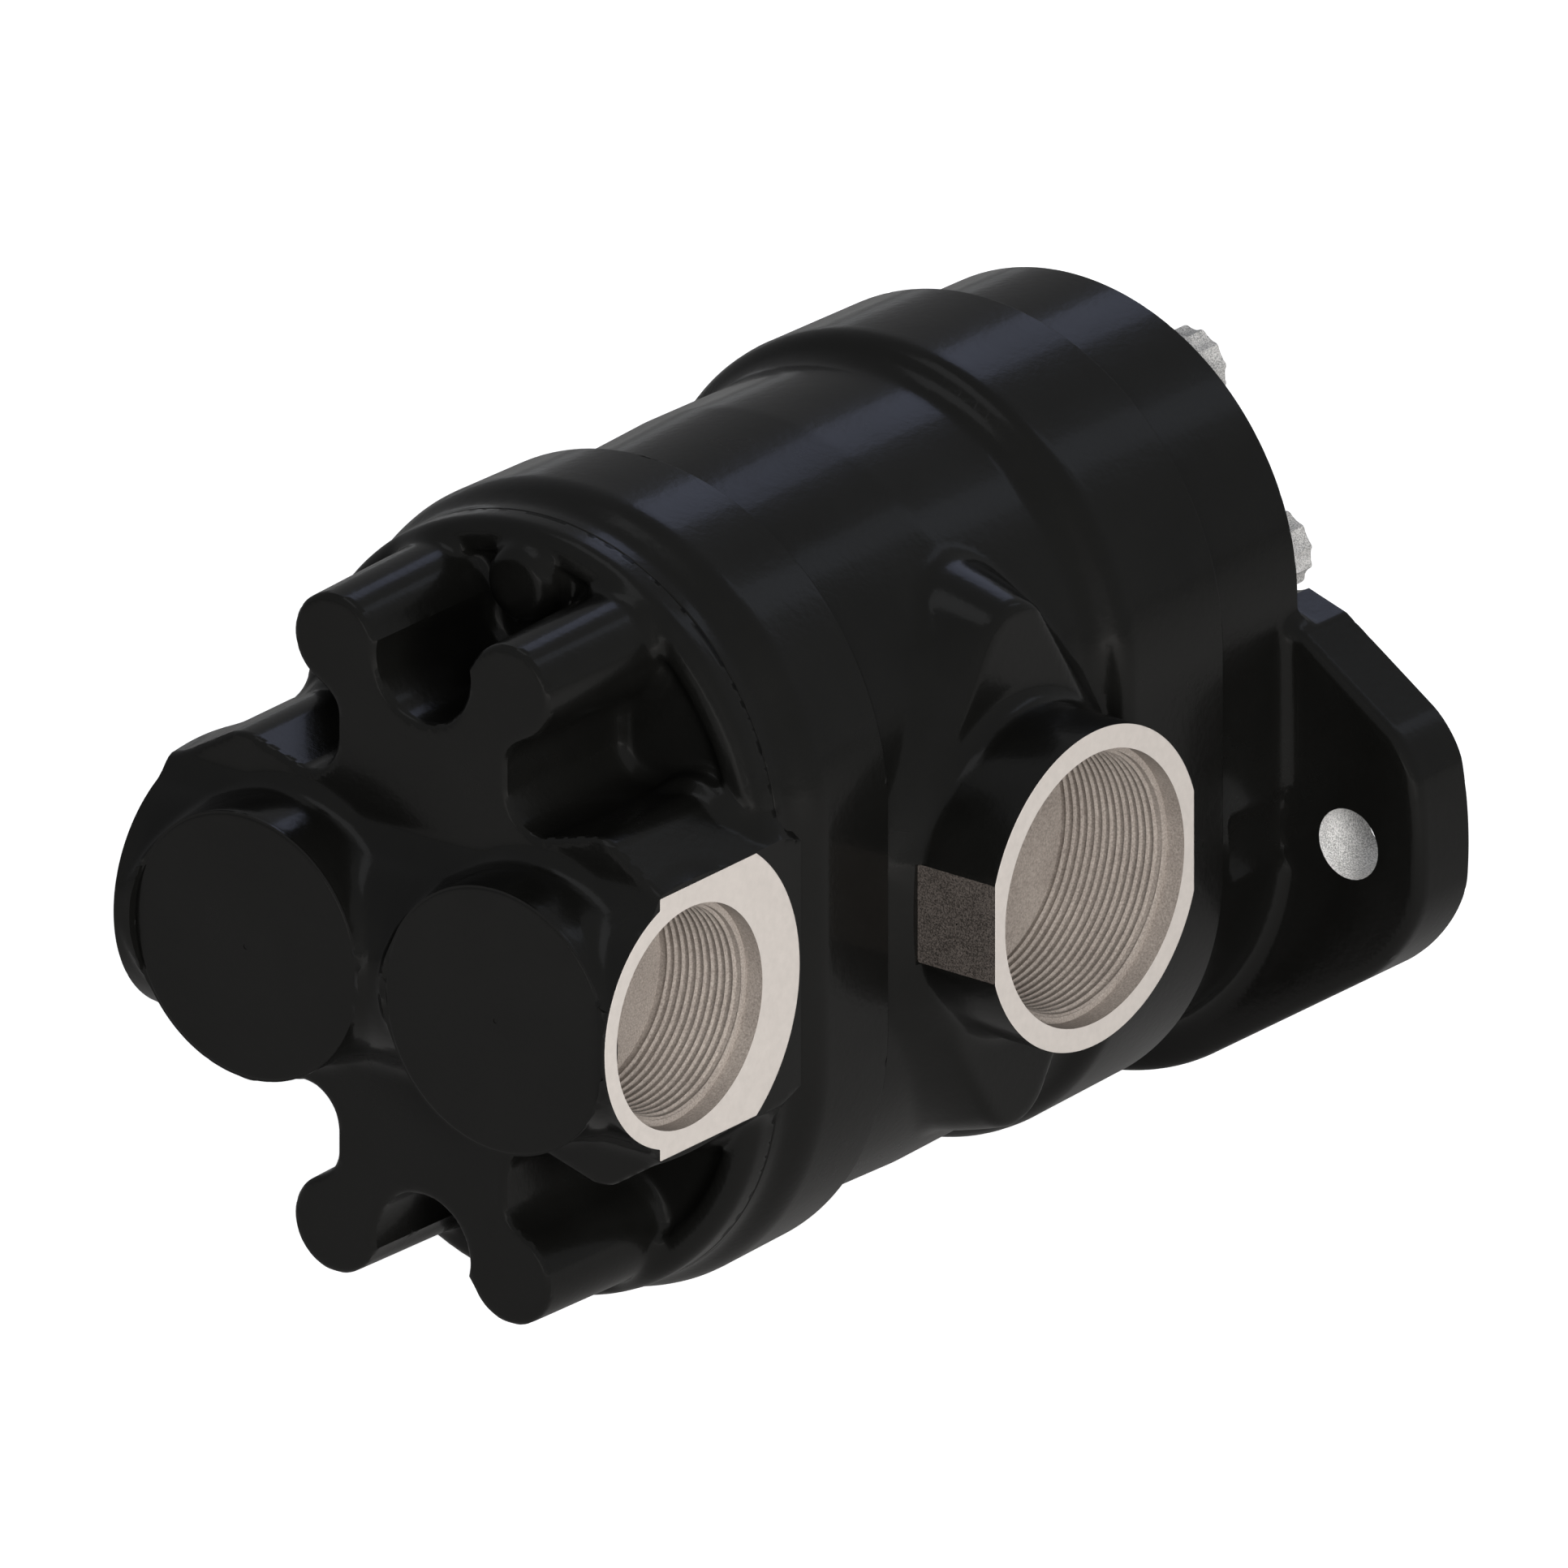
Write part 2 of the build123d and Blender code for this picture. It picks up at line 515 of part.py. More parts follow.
def make_rear_housing():
    slope = math.tan(math.radians(DRAFT_ANGLE))
    ring_end = JOINT_2 + REAR_RING_LENGTH
    outline = [(0, JOINT_2, 0), (REAR_RING_RADIUS - REAR_RING_LENGTH * slope, JOINT_2, JOINT_EDGE_ROUNDING),
               (REAR_RING_RADIUS, ring_end, EDGE_ROUNDING),
               (COVER_RADIUS, JOINT_3 - REAR_NECK_LENGTH, NECK_ROUNDING),
               (COVER_RADIUS, JOINT_3, JOINT_EDGE_ROUNDING), (0, JOINT_3, 0)]
    housing = turned_obround(outline)
    through = (JOINT_2 - OVERSHOOT, JOINT_3 + OVERSHOOT)
    housing -= slab(figure_eight(POCKET_RADIUS), through[0], through[1])
    for side in (-1, 1):
        ends = sorted((side * CHAMBER_END_X, side * FEED_X))
        housing -= block(ends[0], ends[1], through[0], through[1], MID_Z - FEED_RADIUS, MID_Z + FEED_RADIUS)
        housing -= rod(FEED_RADIUS, through[0], through[1], side * FEED_X, MID_Z)
    housing -= rods(SCREW_HOLE_RADIUS, through[0], through[1], LUG_SCREWS + SIDE_SCREWS)
    housing -= dowel_holes(JOINT_2)
    housing -= dowel_holes(JOINT_3)
    housing -= seal_groove(JOINT_2)
    return housing


# Rear port cover

def web_quarter():
    # One quarter of the star web, from the notch between the lugs to the bar's end.
    lug = (LUG_X, LUG_HEIGHT)
    fillet_x, fillet_z = NECK_FILLET_X, NECK_TOP
    reach = LUG_RADIUS + NECK_FILLET
    lug_end = (LUG_X + LUG_RADIUS * (fillet_x - LUG_X) / reach,
               LUG_HEIGHT - LUG_RADIUS * (LUG_HEIGHT - fillet_z) / reach)
    bend = math.sqrt(0.5)
    waist_z = WAIST_HALF_HEIGHT + WAIST_ROUNDING
    waist_x = NECK_HALF_WIDTH + WAIST_ROUNDING
    toward_lug = math.atan2(lug_end[1] - fillet_z, lug_end[0] - fillet_x)
    middle = (toward_lug + math.pi) / 2
    notch_mid = (NOTCH_RADIUS * bend, LUG_HEIGHT - NOTCH_RADIUS * bend)
    lug_far = (LUG_X + LUG_RADIUS * bend, LUG_HEIGHT + LUG_RADIUS * bend)
    neck_mid = (fillet_x + NECK_FILLET * math.cos(middle), fillet_z + NECK_FILLET * math.sin(middle))
    waist_mid = (waist_x - WAIST_ROUNDING * bend, waist_z - WAIST_ROUNDING * bend)
    return [
        ThreePointArc((0, LUG_HEIGHT - NOTCH_RADIUS), notch_mid, (NOTCH_RADIUS, LUG_HEIGHT)),
        ThreePointArc((NOTCH_RADIUS, LUG_HEIGHT), lug_far, lug_end),
        ThreePointArc(lug_end, neck_mid, (NECK_HALF_WIDTH, fillet_z)),
        Line((NECK_HALF_WIDTH, fillet_z), (NECK_HALF_WIDTH, waist_z)),
        ThreePointArc((NECK_HALF_WIDTH, waist_z), waist_mid, (waist_x, WAIST_HALF_HEIGHT)),
        Line((waist_x, WAIST_HALF_HEIGHT), (WAIST_HALF_WIDTH, WAIST_HALF_HEIGHT)),
        Line((WAIST_HALF_WIDTH, WAIST_HALF_HEIGHT), (WAIST_HALF_WIDTH, 0)),
    ]


def web_sketch():
    quarter = Curve() + web_quarter()
    half = quarter + mirror(quarter, about=Plane.YZ)
    outline = half + mirror(half, about=Plane.XZ)
    return Pos(0, MID_Z) * make_face(outline.edges())


def make_bar():
    # The cross bar that joins the two port blocks, slimmer between the discs.
    arc = ThreePointArc((-DISC_X, BAR_RADIUS), (0, BAR_WAIST_RADIUS), (DISC_X, BAR_RADIUS))
    rest = Polyline([(DISC_X, BAR_RADIUS), (BLOCK_FACE_X, BAR_RADIUS), (BLOCK_FACE_X, 0),
                     (-FAR_BLOCK_FACE_X, 0), (-FAR_BLOCK_FACE_X, BAR_RADIUS), (-DISC_X, BAR_RADIUS)])
    bar = Pos(0, -BAR_AXIS, MID_Z) * revolve(make_face([arc, rest]), Axis.X)
    return bar - rods(DISC_RADIUS, COVER_END, COVER_END + BAR_RADIUS, DISCS)


def make_port_block(face_x, face_height):
    # A roof-shaped block, highest at its ridge and sloping to the port face.
    waist_x = NECK_HALF_WIDTH + WAIST_ROUNDING
    rise = (BLOCK_RIDGE_HEIGHT - WAIST_HALF_HEIGHT) / (BLOCK_RIDGE_X - waist_x)
    fall = (BLOCK_RIDGE_HEIGHT - face_height) / (face_x - BLOCK_RIDGE_X)
    root = (BLOCK_ROOT_X, WAIST_HALF_HEIGHT - rise * (waist_x - BLOCK_ROOT_X))
    ridge = (BLOCK_RIDGE_X, BLOCK_RIDGE_HEIGHT)
    tip_x = face_x + 2 * BLOCK_TAPER_LENGTH
    tip = (tip_x, face_height - fall * (tip_x - face_x))
    upper = [root, ridge, tip]
    outline = make_face(Polyline(upper + [(x, -z) for x, z in reversed(upper)], close=True))
    for x, z in (ridge, (BLOCK_RIDGE_X, -BLOCK_RIDGE_HEIGHT)):
        outline = fillet(outline.vertices().sort_by_distance((x, z, 0))[0], BLOCK_RIDGE_ROUNDING)
    outline = Pos(0, MID_Z) * outline
    front = JOINT_3 - BLOCK_OVERHANG
    taper_start = front + BLOCK_TAPER_LENGTH
    body = slab(outline, taper_start, WEB_PLANE)
    rear = body.faces().sort_by(Axis.Y)[0]
    rear_edges = [edge for edge in rear.edges() if edge.center().X > BLOCK_ROOT_X + CASTING_FIT]
    body = fillet(rear_edges, WEB_EDGE_ROUNDING)
    body += extrude(Plane.XZ.offset(taper_start) * outline, -BLOCK_TAPER_LENGTH, taper=BLOCK_TAPER)
    reach = 2 * BLOCK_RIDGE_HEIGHT
    return body & block(0, face_x, 0, COVER_END, MID_Z - reach, MID_Z + reach)


def make_rear_cover():
    floor = JOINT_3 + COVER_BASE_THICKNESS
    rim_top = JOINT_3 + RIM_HEIGHT
    rim_inner = COVER_RADIUS - RIM_WIDTH
    base = turned_obround([(0, JOINT_3, 0), (COVER_RADIUS, JOINT_3, JOINT_EDGE_ROUNDING),
                           (COVER_RADIUS, rim_top, RIM_ROUNDING),
                           (rim_inner, rim_top, RIM_INNER_ROUNDING),
                           (rim_inner - RIM_INNER_ROUNDING, floor, RIM_INNER_ROUNDING), (0, floor, 0)])
    root = floor - OVERSHOOT
    web = extrude(Plane.XZ.offset(WEB_PLANE) * web_sketch(), root - WEB_PLANE, taper=-LUG_DRAFT)
    web_edges = web.edges().group_by(Axis.Y)[0]
    web = fillet(web_edges, WEB_EDGE_ROUNDING)
    cover = base + web + make_bar()
    for x, z in DISCS:
        disc = rod(DISC_RADIUS, BAR_AXIS, COVER_END, x, z)
        cover += fillet(disc.edges().group_by(Axis.Y)[0], DISC_EDGE_ROUNDING)
    cover += make_port_block(BLOCK_FACE_X, BLOCK_FACE_HEIGHT)
    cover += mirror(make_port_block(FAR_BLOCK_FACE_X, FAR_BLOCK_FACE_HEIGHT), about=Plane.YZ)
    boss_end = JOINT_3 + DOWEL_BOSS_HEIGHT
    cover += rods(SIDE_BOSS_RADIUS, root, boss_end, SIDE_SCREWS)
    for side in (-1, 1):
        boss = rod(DOWEL_BOSS_RADIUS, root, boss_end, 0, MID_Z + side * DOWEL_HEIGHT)
        cover += fillet(boss.edges().group_by(Axis.Y)[0], DOWEL_BOSS_ROUNDING)
        ends = sorted((side * (LUG_HEIGHT - NOTCH_RADIUS - OVERSHOOT), side * DOWEL_HEIGHT))
        cover += block(-DOWEL_RIB_WIDTH / 2, DOWEL_RIB_WIDTH / 2, root, rim_top,
                       MID_Z + ends[0], MID_Z + ends[1])

    cover -= slab(obround(COVER_RADIUS + CASTING_FIT), 0, JOINT_3)
    cover -= cross_rod(PORT_SPOTFACE_RADIUS, BLOCK_FACE_X - PORT_SPOTFACE_DEPTH, BLOCK_FACE_X + OVERSHOOT,
                       BAR_AXIS)
    cover -= port_bore(OUTLET_THREAD_RADIUS, OUTLET_THREAD_LENGTH, OUTLET_COUNTERBORE_RADIUS,
                       OUTLET_COUNTERBORE_DEPTH, BLOCK_FACE_X - PORT_SPOTFACE_DEPTH, BAR_AXIS)
    cover -= cross_rod(OUTLET_PASSAGE_RADIUS, -FEED_X - FEED_RADIUS, BLOCK_FACE_X - OVERSHOOT, BAR_AXIS)
    cover -= rod(FEED_RADIUS, JOINT_3 - OVERSHOOT, BAR_AXIS, -FEED_X, MID_Z)
    bore_end = JOINT_3 + COVER_BUSHING_LENGTH + BORE_FLOOR_GAP
    cover -= slab(figure_eight(BUSHING_BORE_RADIUS), JOINT_3 - OVERSHOOT, bore_end)
    tapped = SCREW_RADIUS + SCREW_THREAD_FIT
    cover -= rods(tapped, JOINT_3 - OVERSHOOT, WEB_PLANE - LUG_END_WALL, LUG_SCREWS)
    cover -= rods(tapped, JOINT_3 - OVERSHOOT, boss_end - SCREW_BLIND_GAP, SIDE_SCREWS)
    cover -= dowel_holes(JOINT_3)
    cover -= seal_groove(JOINT_3)
    return cover


# Bushings, plates and seals

def bushing(start, length, axis):
    ring = Circle(BUSHING_OUTER_RADIUS) - Circle(BUSHING_INNER_RADIUS)
    return slab(Pos(0, AXES[axis]) * ring, start, start + length)


def thrust_plate(start, thickness):
    plate = figure_eight(POCKET_RADIUS - PLATE_CLEARANCE) - figure_eight(BUSHING_INNER_RADIUS)
    relief = Rectangle(4 * POCKET_RADIUS, PLATE_RELIEF_WIDTH) - Rectangle(3 * CHAMBER_END_X, PLATE_RELIEF_WIDTH)
    return slab(plate - Pos(0, MID_Z) * relief, start, start + thickness)


def section_seal(joint):
    inner = SEAL_GROOVE_RADIUS + FIT_CLEARANCE
    outer = SEAL_GROOVE_RADIUS + SEAL_CORD - FIT_CLEARANCE
    return slab(obround(outer) - obround(inner), joint, joint + SEAL_GROOVE_DEPTH - FIT_CLEARANCE)


def make_shaft_seal():
    start = SEAL_FLOOR_DEPTH - SEAL_LENGTH
    lip = JOURNAL_RADIUS + JOURNAL_CLEARANCE
    case = rod(SEAL_OUTER_RADIUS, start, SEAL_FLOOR_DEPTH) - rod(lip, start, SEAL_FLOOR_DEPTH)
    trough = Circle(SEAL_OUTER_RADIUS - SEAL_WALL) - Circle(lip + SEAL_LIP)
    return case - slab(trough, start + SEAL_WALL, SEAL_FLOOR_DEPTH)


def make_retaining_ring():
    outer = SEAL_OUTER_RADIUS + RETAINING_RING_GROOVE - FIT_CLEARANCE
    middle = outer - RETAINING_RING_WIDTH
    ring = Circle(outer) - Circle(middle)
    half_gap = math.radians(RETAINING_RING_GAP / 2)
    reach = 2 * outer
    wedge = make_face(Polyline([(0, 0), (reach * math.sin(half_gap), reach * math.cos(half_gap)),
                                (-reach * math.sin(half_gap), reach * math.cos(half_gap))], close=True))
    ring -= wedge
    for side in (-1, 1):
        turn = side * (half_gap + RETAINING_RING_EAR_RADIUS / middle)
        ear = Pos(middle * math.sin(turn), middle * math.cos(turn))
        ring += ear * Circle(RETAINING_RING_EAR_RADIUS)
        ring -= ear * Circle(RETAINING_RING_HOLE_RADIUS)
    end = SEAL_FLOOR_DEPTH - SEAL_LENGTH - FIT_CLEARANCE
    return slab(ring, end - RETAINING_RING_THICKNESS, end)


# Shafts and gears

def make_drive_shaft():
    bearing_end = FRONT_POCKET_END + CENTRE_BUSHING_LENGTH
    nose = rod(SHAFT_RADIUS, -SHAFT_EXTENSION, SHOULDER_DEPTH + OVERSHOOT)
    nose = chamfer(nose.edges().group_by(Axis.Y)[-1], SHAFT_CHAMFER)
    shaft = nose + rod(JOURNAL_RADIUS, SHOULDER_DEPTH, bearing_end)
    shaft -= slab(spline_sketch(SPLINE_CLEARANCE), bearing_end - SPLINE_ENGAGEMENT, bearing_end)
    return shaft - make_keyway()


def make_keyway():
    # Open at the shaft's end and rounded at the other, so that a coupling's key slides in.
    half = KEYWAY_WIDTH / 2
    end = KEYWAY_LENGTH - SHAFT_EXTENSION - half
    bottom = SHAFT_RADIUS - KEYWAY_DEPTH
    top = SHAFT_RADIUS + OVERSHOOT
    slot = block(-half, half, -SHAFT_EXTENSION - OVERSHOOT, end, bottom, top)
    return slot + Pos(0, -end, (bottom + top) / 2) * Cylinder(half, top - bottom)


def make_front_drive_gear():
    bore = JOURNAL_RADIUS + FIT_CLEARANCE
    return gear(FRONT_GEAR_START, FRONT_GEAR_END, "drive") - rod(bore, FRONT_GEAR_START, FRONT_GEAR_END)


def make_connecting_shaft():
    start = FRONT_POCKET_END + CENTRE_BUSHING_LENGTH - SPLINE_ENGAGEMENT + SPLINE_END_GAP
    end = JOINT_2 - CENTRE_BUSHING_LENGTH + SPLINE_ENGAGEMENT - SPLINE_END_GAP
    return slab(spline_sketch(0), start, end)


def make_rear_drive_gear():
    stub_start = JOINT_2 - CENTRE_BUSHING_LENGTH
    stub_end = JOINT_3 + COVER_BUSHING_LENGTH
    wheel = gear(REAR_GEAR_START, REAR_GEAR_END, "drive") + rod(JOURNAL_RADIUS, stub_start, stub_end)
    return wheel - slab(spline_sketch(SPLINE_CLEARANCE), stub_start, stub_start + SPLINE_ENGAGEMENT)


def driven_gear(start, end, stub_start, stub_end):
    half_pitch = 180 / GEAR_TEETH
    wheel = gear(start, end, "driven", half_pitch)
    return wheel + rod(JOURNAL_RADIUS, stub_start, stub_end, 0, CENTRE_DISTANCE)


# Fasteners

def cap_screw(x, z, end):
    flange_start = SCREW_SEAT - SCREW_FLANGE_HEIGHT
    hexagon = RegularPolygon(SCREW_HEAD_RADIUS, 6)
    points = hexagon + Rot(0, 0, 30) * hexagon
    head = slab(Pos(x, z) * points, SCREW_SEAT - SCREW_HEAD_HEIGHT, flange_start)
    cone = rod(SCREW_HEAD_RADIUS, SCREW_SEAT - SCREW_HEAD_HEIGHT, flange_start, x, z)
    head &= chamfer(cone.edges().group_by(Axis.Y)[-1], SCREW_HEAD_CHAMFER)
    shank = rod(SCREW_RADIUS, SCREW_SEAT, end, x, z)
    shank = chamfer(shank.edges().group_by(Axis.Y)[0], SCREW_POINT_CHAMFER)
    return head + rod(SCREW_FLANGE_RADIUS, flange_start, SCREW_SEAT, x, z) + shank


def make_washers():
    ring = Circle(WASHER_RADIUS) - Circle(SCREW_HOLE_RADIUS)
    places = LUG_SCREWS + SIDE_SCREWS
    return [slab(Pos(x, z) * ring, SCREW_SEAT, FLANGE_BODY_SETBACK) for x, z in places]


def make_dowels(joint):
    return [rod(DOWEL_RADIUS, joint - DOWEL_LENGTH / 2, joint + DOWEL_LENGTH / 2, x, z) for x, z in DOWELS]


def build_parts():
    screw_end = WEB_PLANE - LUG_END_WALL - SCREW_BLIND_GAP
    side_end = JOINT_3 + DOWEL_BOSS_HEIGHT - 2 * SCREW_BLIND_GAP
    driven_front = JOINT_1 - FLANGE_BUSHING_LENGTH
    parts = {
        "mounting_flange": [make_mounting_flange()],
        "front_gear_housing": [make_front_housing()],
        "rear_gear_housing": [make_rear_housing()],
        "rear_port_cover": [make_rear_cover()],
        "shaft_seal": [make_shaft_seal()],
        "seal_retaining_ring": [make_retaining_ring()],
        "drive_shaft": [make_drive_shaft()],
        "front_drive_gear": [make_front_drive_gear()],
        "connecting_shaft": [make_connecting_shaft()],
        "rear_drive_gear": [make_rear_drive_gear()],
        "front_driven_gear": [driven_gear(FRONT_GEAR_START, FRONT_GEAR_END, driven_front,
                                          FRONT_POCKET_END + CENTRE_BUSHING_LENGTH)],
        "rear_driven_gear": [driven_gear(REAR_GEAR_START, REAR_GEAR_END, JOINT_2 - CENTRE_BUSHING_LENGTH,
                                         JOINT_3 + COVER_BUSHING_LENGTH)],
        "long_cap_screws": [cap_screw(x, z, screw_end) for x, z in LUG_SCREWS],
        "side_cap_screws": [cap_screw(x, z, side_end) for x, z in SIDE_SCREWS],
        "screw_washers": make_washers(),
        "flange_dowels": make_dowels(JOINT_1),
        "centre_dowels": make_dowels(JOINT_2),
        "cover_dowels": make_dowels(JOINT_3),
        "flange_seal": [section_seal(JOINT_1)],
        "centre_seal": [section_seal(JOINT_2)],
        "cover_seal": [section_seal(JOINT_3)],
    }
    bushings = {
        "flange_bushing": (JOINT_1 - FLANGE_BUSHING_LENGTH, FLANGE_BUSHING_LENGTH),
        "centre_front_bushing": (FRONT_POCKET_END, CENTRE_BUSHING_LENGTH),
        "centre_rear_bushing": (JOINT_2 - CENTRE_BUSHING_LENGTH, CENTRE_BUSHING_LENGTH),
        "cover_bushing": (JOINT_3, COVER_BUSHING_LENGTH),
    }
    for name, (start, length) in bushings.items():
        for axis in AXES:
            parts[axis + "_" + name] = [bushing(start, length, axis)]
    plates = {
        "front_section_front_plate": (JOINT_1 + AXIAL_CLEARANCE, FRONT_PLATE_THICKNESS),
        "front_section_rear_plate": (FRONT_POCKET_END - FRONT_PLATE_THICKNESS - AXIAL_CLEARANCE,
                                     FRONT_PLATE_THICKNESS),
        "rear_section_front_plate": (JOINT_2 + AXIAL_CLEARANCE, REAR_PLATE_THICKNESS),
        "rear_section_rear_plate": (JOINT_3 - REAR_PLATE_THICKNESS - AXIAL_CLEARANCE, REAR_PLATE_THICKNESS),
    }
    for name, (start, thickness) in plates.items():
        parts[name] = [thrust_plate(start, thickness)]
    return parts


os.makedirs("parts", exist_ok=True)
for node, solids in build_parts().items():
    shape = solids[0] if len(solids) == 1 else Compound(children=solids)
    export_step(shape, f"parts/{node}.step")
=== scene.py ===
import bpy
import bmesh
import math
import numpy as np
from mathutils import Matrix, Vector


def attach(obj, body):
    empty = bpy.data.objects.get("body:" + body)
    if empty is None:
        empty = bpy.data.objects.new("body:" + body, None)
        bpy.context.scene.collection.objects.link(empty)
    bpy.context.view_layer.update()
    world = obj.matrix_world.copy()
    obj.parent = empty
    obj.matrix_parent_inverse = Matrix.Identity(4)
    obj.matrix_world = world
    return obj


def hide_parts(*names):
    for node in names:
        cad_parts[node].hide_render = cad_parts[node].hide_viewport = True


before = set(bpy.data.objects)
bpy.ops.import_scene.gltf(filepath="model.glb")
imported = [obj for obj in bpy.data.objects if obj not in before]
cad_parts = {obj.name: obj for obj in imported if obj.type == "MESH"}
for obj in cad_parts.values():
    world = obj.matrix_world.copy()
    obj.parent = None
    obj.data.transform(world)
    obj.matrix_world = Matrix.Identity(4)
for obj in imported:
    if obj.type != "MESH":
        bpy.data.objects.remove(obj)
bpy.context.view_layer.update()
print("frame loaded")

# Lengths are millimetres until a mesh is made. x is across, d is the depth behind the
# mounting face and h is the height above the middle of the two gear axes.
midZ = 17.8
draft = math.tan(math.radians(1.5))


def toWorld(points):
    # (x, d, h) in mm to the frame's metres
    points = np.asarray(points, float)
    return np.stack([points[..., 0], -points[..., 1], points[..., 2] + midZ], -1) / 1000


def newObject(name, mesh, material, replaced=()):
    thing = bpy.data.objects.new(name, mesh)
    bpy.context.scene.collection.objects.link(thing)
    mesh.materials.clear()
    mesh.materials.append(material)
    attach(thing, "housing")
    if replaced:
        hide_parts(*replaced)


def nodeTree(owner):
    owner.use_nodes = True
    tree = owner.node_tree
    tree.nodes.clear()
    return tree


def addNode(tree, kind, inputs=None, **settings):
    made = tree.nodes.new(kind)
    for key, value in settings.items():
        setattr(made, key, value)
    for key, value in (inputs or {}).items():
        socket = made.inputs[key]
        if hasattr(value, "is_output"):
            tree.links.new(value, socket)
        else:
            socket.default_value = value
    return made


def ramp(tree, source, low, high, lowColour, highColour):
    made = addNode(tree, "ShaderNodeValToRGB", {"Fac": source})
    first, last = made.color_ramp.elements
    first.position, last.position = low, high
    first.color, last.color = (*lowColour, 1), (*highColour, 1)
    return made.outputs["Color"]


def noise(tree, place, scale, detail=4.0, roughness=0.55):
    return addNode(tree, "ShaderNodeTexNoise", {"Vector": place, "Scale": scale, "Detail": detail,
                                                "Roughness": roughness}).outputs["Fac"]


def finishTree(tree, shader):
    addNode(tree, "ShaderNodeOutputMaterial", {"Surface": shader})


def paintMaterial():
    size = {"grain": 900.0, "pits": 240.0, "wave": 60.0, "dust": 35.0, "pitShare": 0.6, "fineBump": 0.10,
            "broadBump": 0.04, "rough": (0.2, 0.3), "dark": (0.0030, 0.0030, 0.0027),
            "light": (0.0050, 0.0050, 0.0046), "dustRange": (0.3, 0.75)}
    material = bpy.data.materials.new("glossBlackPaint")
    tree = nodeTree(material)
    place = addNode(tree, "ShaderNodeTexCoord").outputs["Object"]
    broad = noise(tree, place, size["dust"], 5.0, 0.6)
    fine = noise(tree, place, size["grain"], 3.0)
    pits = noise(tree, place, size["pits"], 4.0, 0.6)
    wave = noise(tree, place, size["wave"], 2.0, 0.4)
    low, high = size["dustRange"]
    colour = ramp(tree, broad, low, high, size["dark"], size["light"])
    rough = addNode(tree, "ShaderNodeMapRange", {"Value": broad, "From Min": low, "From Max": high,
                                                 "To Min": size["rough"][0], "To Max": size["rough"][1]})
    mixed = addNode(tree, "ShaderNodeMath", {0: pits, 1: size["pitShare"]}, operation="MULTIPLY").outputs[0]
    mixed = addNode(tree, "ShaderNodeMath", {0: mixed, 1: fine}, operation="ADD").outputs[0]
    small = addNode(tree, "ShaderNodeBump", {"Height": mixed, "Strength": size["fineBump"],
                                             "Distance": 0.0004})
    large = addNode(tree, "ShaderNodeBump", {"Height": wave, "Strength": size["broadBump"],
                                             "Distance": 0.002, "Normal": small.outputs["Normal"]})
    shader = addNode(tree, "ShaderNodeBsdfPrincipled", {
        "Base Color": colour, "Roughness": rough.outputs["Result"], "IOR": 1.42,
        "Normal": large.outputs["Normal"], "Coat Weight": 0.25, "Coat Roughness": 0.1})
    finishTree(tree, shader.outputs["BSDF"])
    return material


def metalMaterial(name, dark, light, roughness, grain, metallic, bump=0.08, spread=0.18, stretch=(1, 1, 1)):
    fineShare, broadScale = 0.8, 90.0
    material = bpy.data.materials.new(name)
    tree = nodeTree(material)
    place = addNode(tree, "ShaderNodeTexCoord").outputs["Object"]
    scaled = addNode(tree, "ShaderNodeMapping", {"Vector": place, "Scale": stretch}).outputs["Vector"]
    broad = noise(tree, place, broadScale, 4.0)
    fine = noise(tree, scaled, grain, 4.0, 0.65)
    most = addNode(tree, "ShaderNodeMath", {0: fine, 1: fineShare}, operation="MULTIPLY").outputs[0]
    mixed = addNode(tree, "ShaderNodeMath", {0: broad, 1: 1 - fineShare, 2: most},
                    operation="MULTIPLY_ADD").outputs[0]
    colour = ramp(tree, mixed, 0.5 - spread, 0.5 + spread, dark, light)
    rough = addNode(tree, "ShaderNodeMapRange", {"Value": mixed, "From Min": 0.3, "From Max": 0.7,
                                                 "To Min": roughness * 0.8, "To Max": roughness * 1.25})
    relief = addNode(tree, "ShaderNodeBump", {"Height": fine, "Strength": bump, "Distance": 0.0003})
    shader = addNode(tree, "ShaderNodeBsdfPrincipled", {
        "Base Color": colour, "Metallic": metallic, "Roughness": rough.outputs["Result"],
        "Normal": relief.outputs["Normal"]})
    finishTree(tree, shader.outputs["BSDF"])
    return material


paint = paintMaterial()
machined = metalMaterial("machinedIron", (0.5, 0.465, 0.435), (0.56, 0.52, 0.487), roughness=0.5,
                         grain=700.0, metallic=0.15, bump=0.06)
threadMetal = metalMaterial("threadIron", (0.16, 0.135, 0.12), (0.42, 0.375, 0.335), roughness=0.5,
                            grain=3200.0, metallic=0.2, bump=0.2, spread=0.2)
sawnIron = metalMaterial("sawnIron", (0.02, 0.017, 0.015), (0.1, 0.086, 0.077), roughness=0.55,
                         grain=3800.0, metallic=0.1, bump=0.5, spread=0.1)
boltSteel = metalMaterial("platedSteel", (0.36, 0.36, 0.355), (0.92, 0.91, 0.9), roughness=0.34,
                          grain=4200.0, metallic=0.4, bump=0.6, spread=0.07)
groundSteel = metalMaterial("groundSteel", (0.42, 0.42, 0.42), (0.62, 0.62, 0.61), roughness=0.22,
                            grain=400.0, metallic=0.7, bump=0.05, stretch=(1, 6, 6))
springSteel = metalMaterial("springSteel", (0.05, 0.05, 0.055), (0.12, 0.12, 0.125), roughness=0.35,
                            grain=900.0, metallic=0.7)
bronze = metalMaterial("bearingBronze", (0.42, 0.26, 0.10), (0.62, 0.42, 0.20), roughness=0.34,
                       grain=800.0, metallic=0.7)
rubber = metalMaterial("sealRubber", (0.012, 0.012, 0.012), (0.03, 0.03, 0.03), roughness=0.6,
                       grain=1200.0, metallic=0.0, bump=0.2)
print("materials ready")

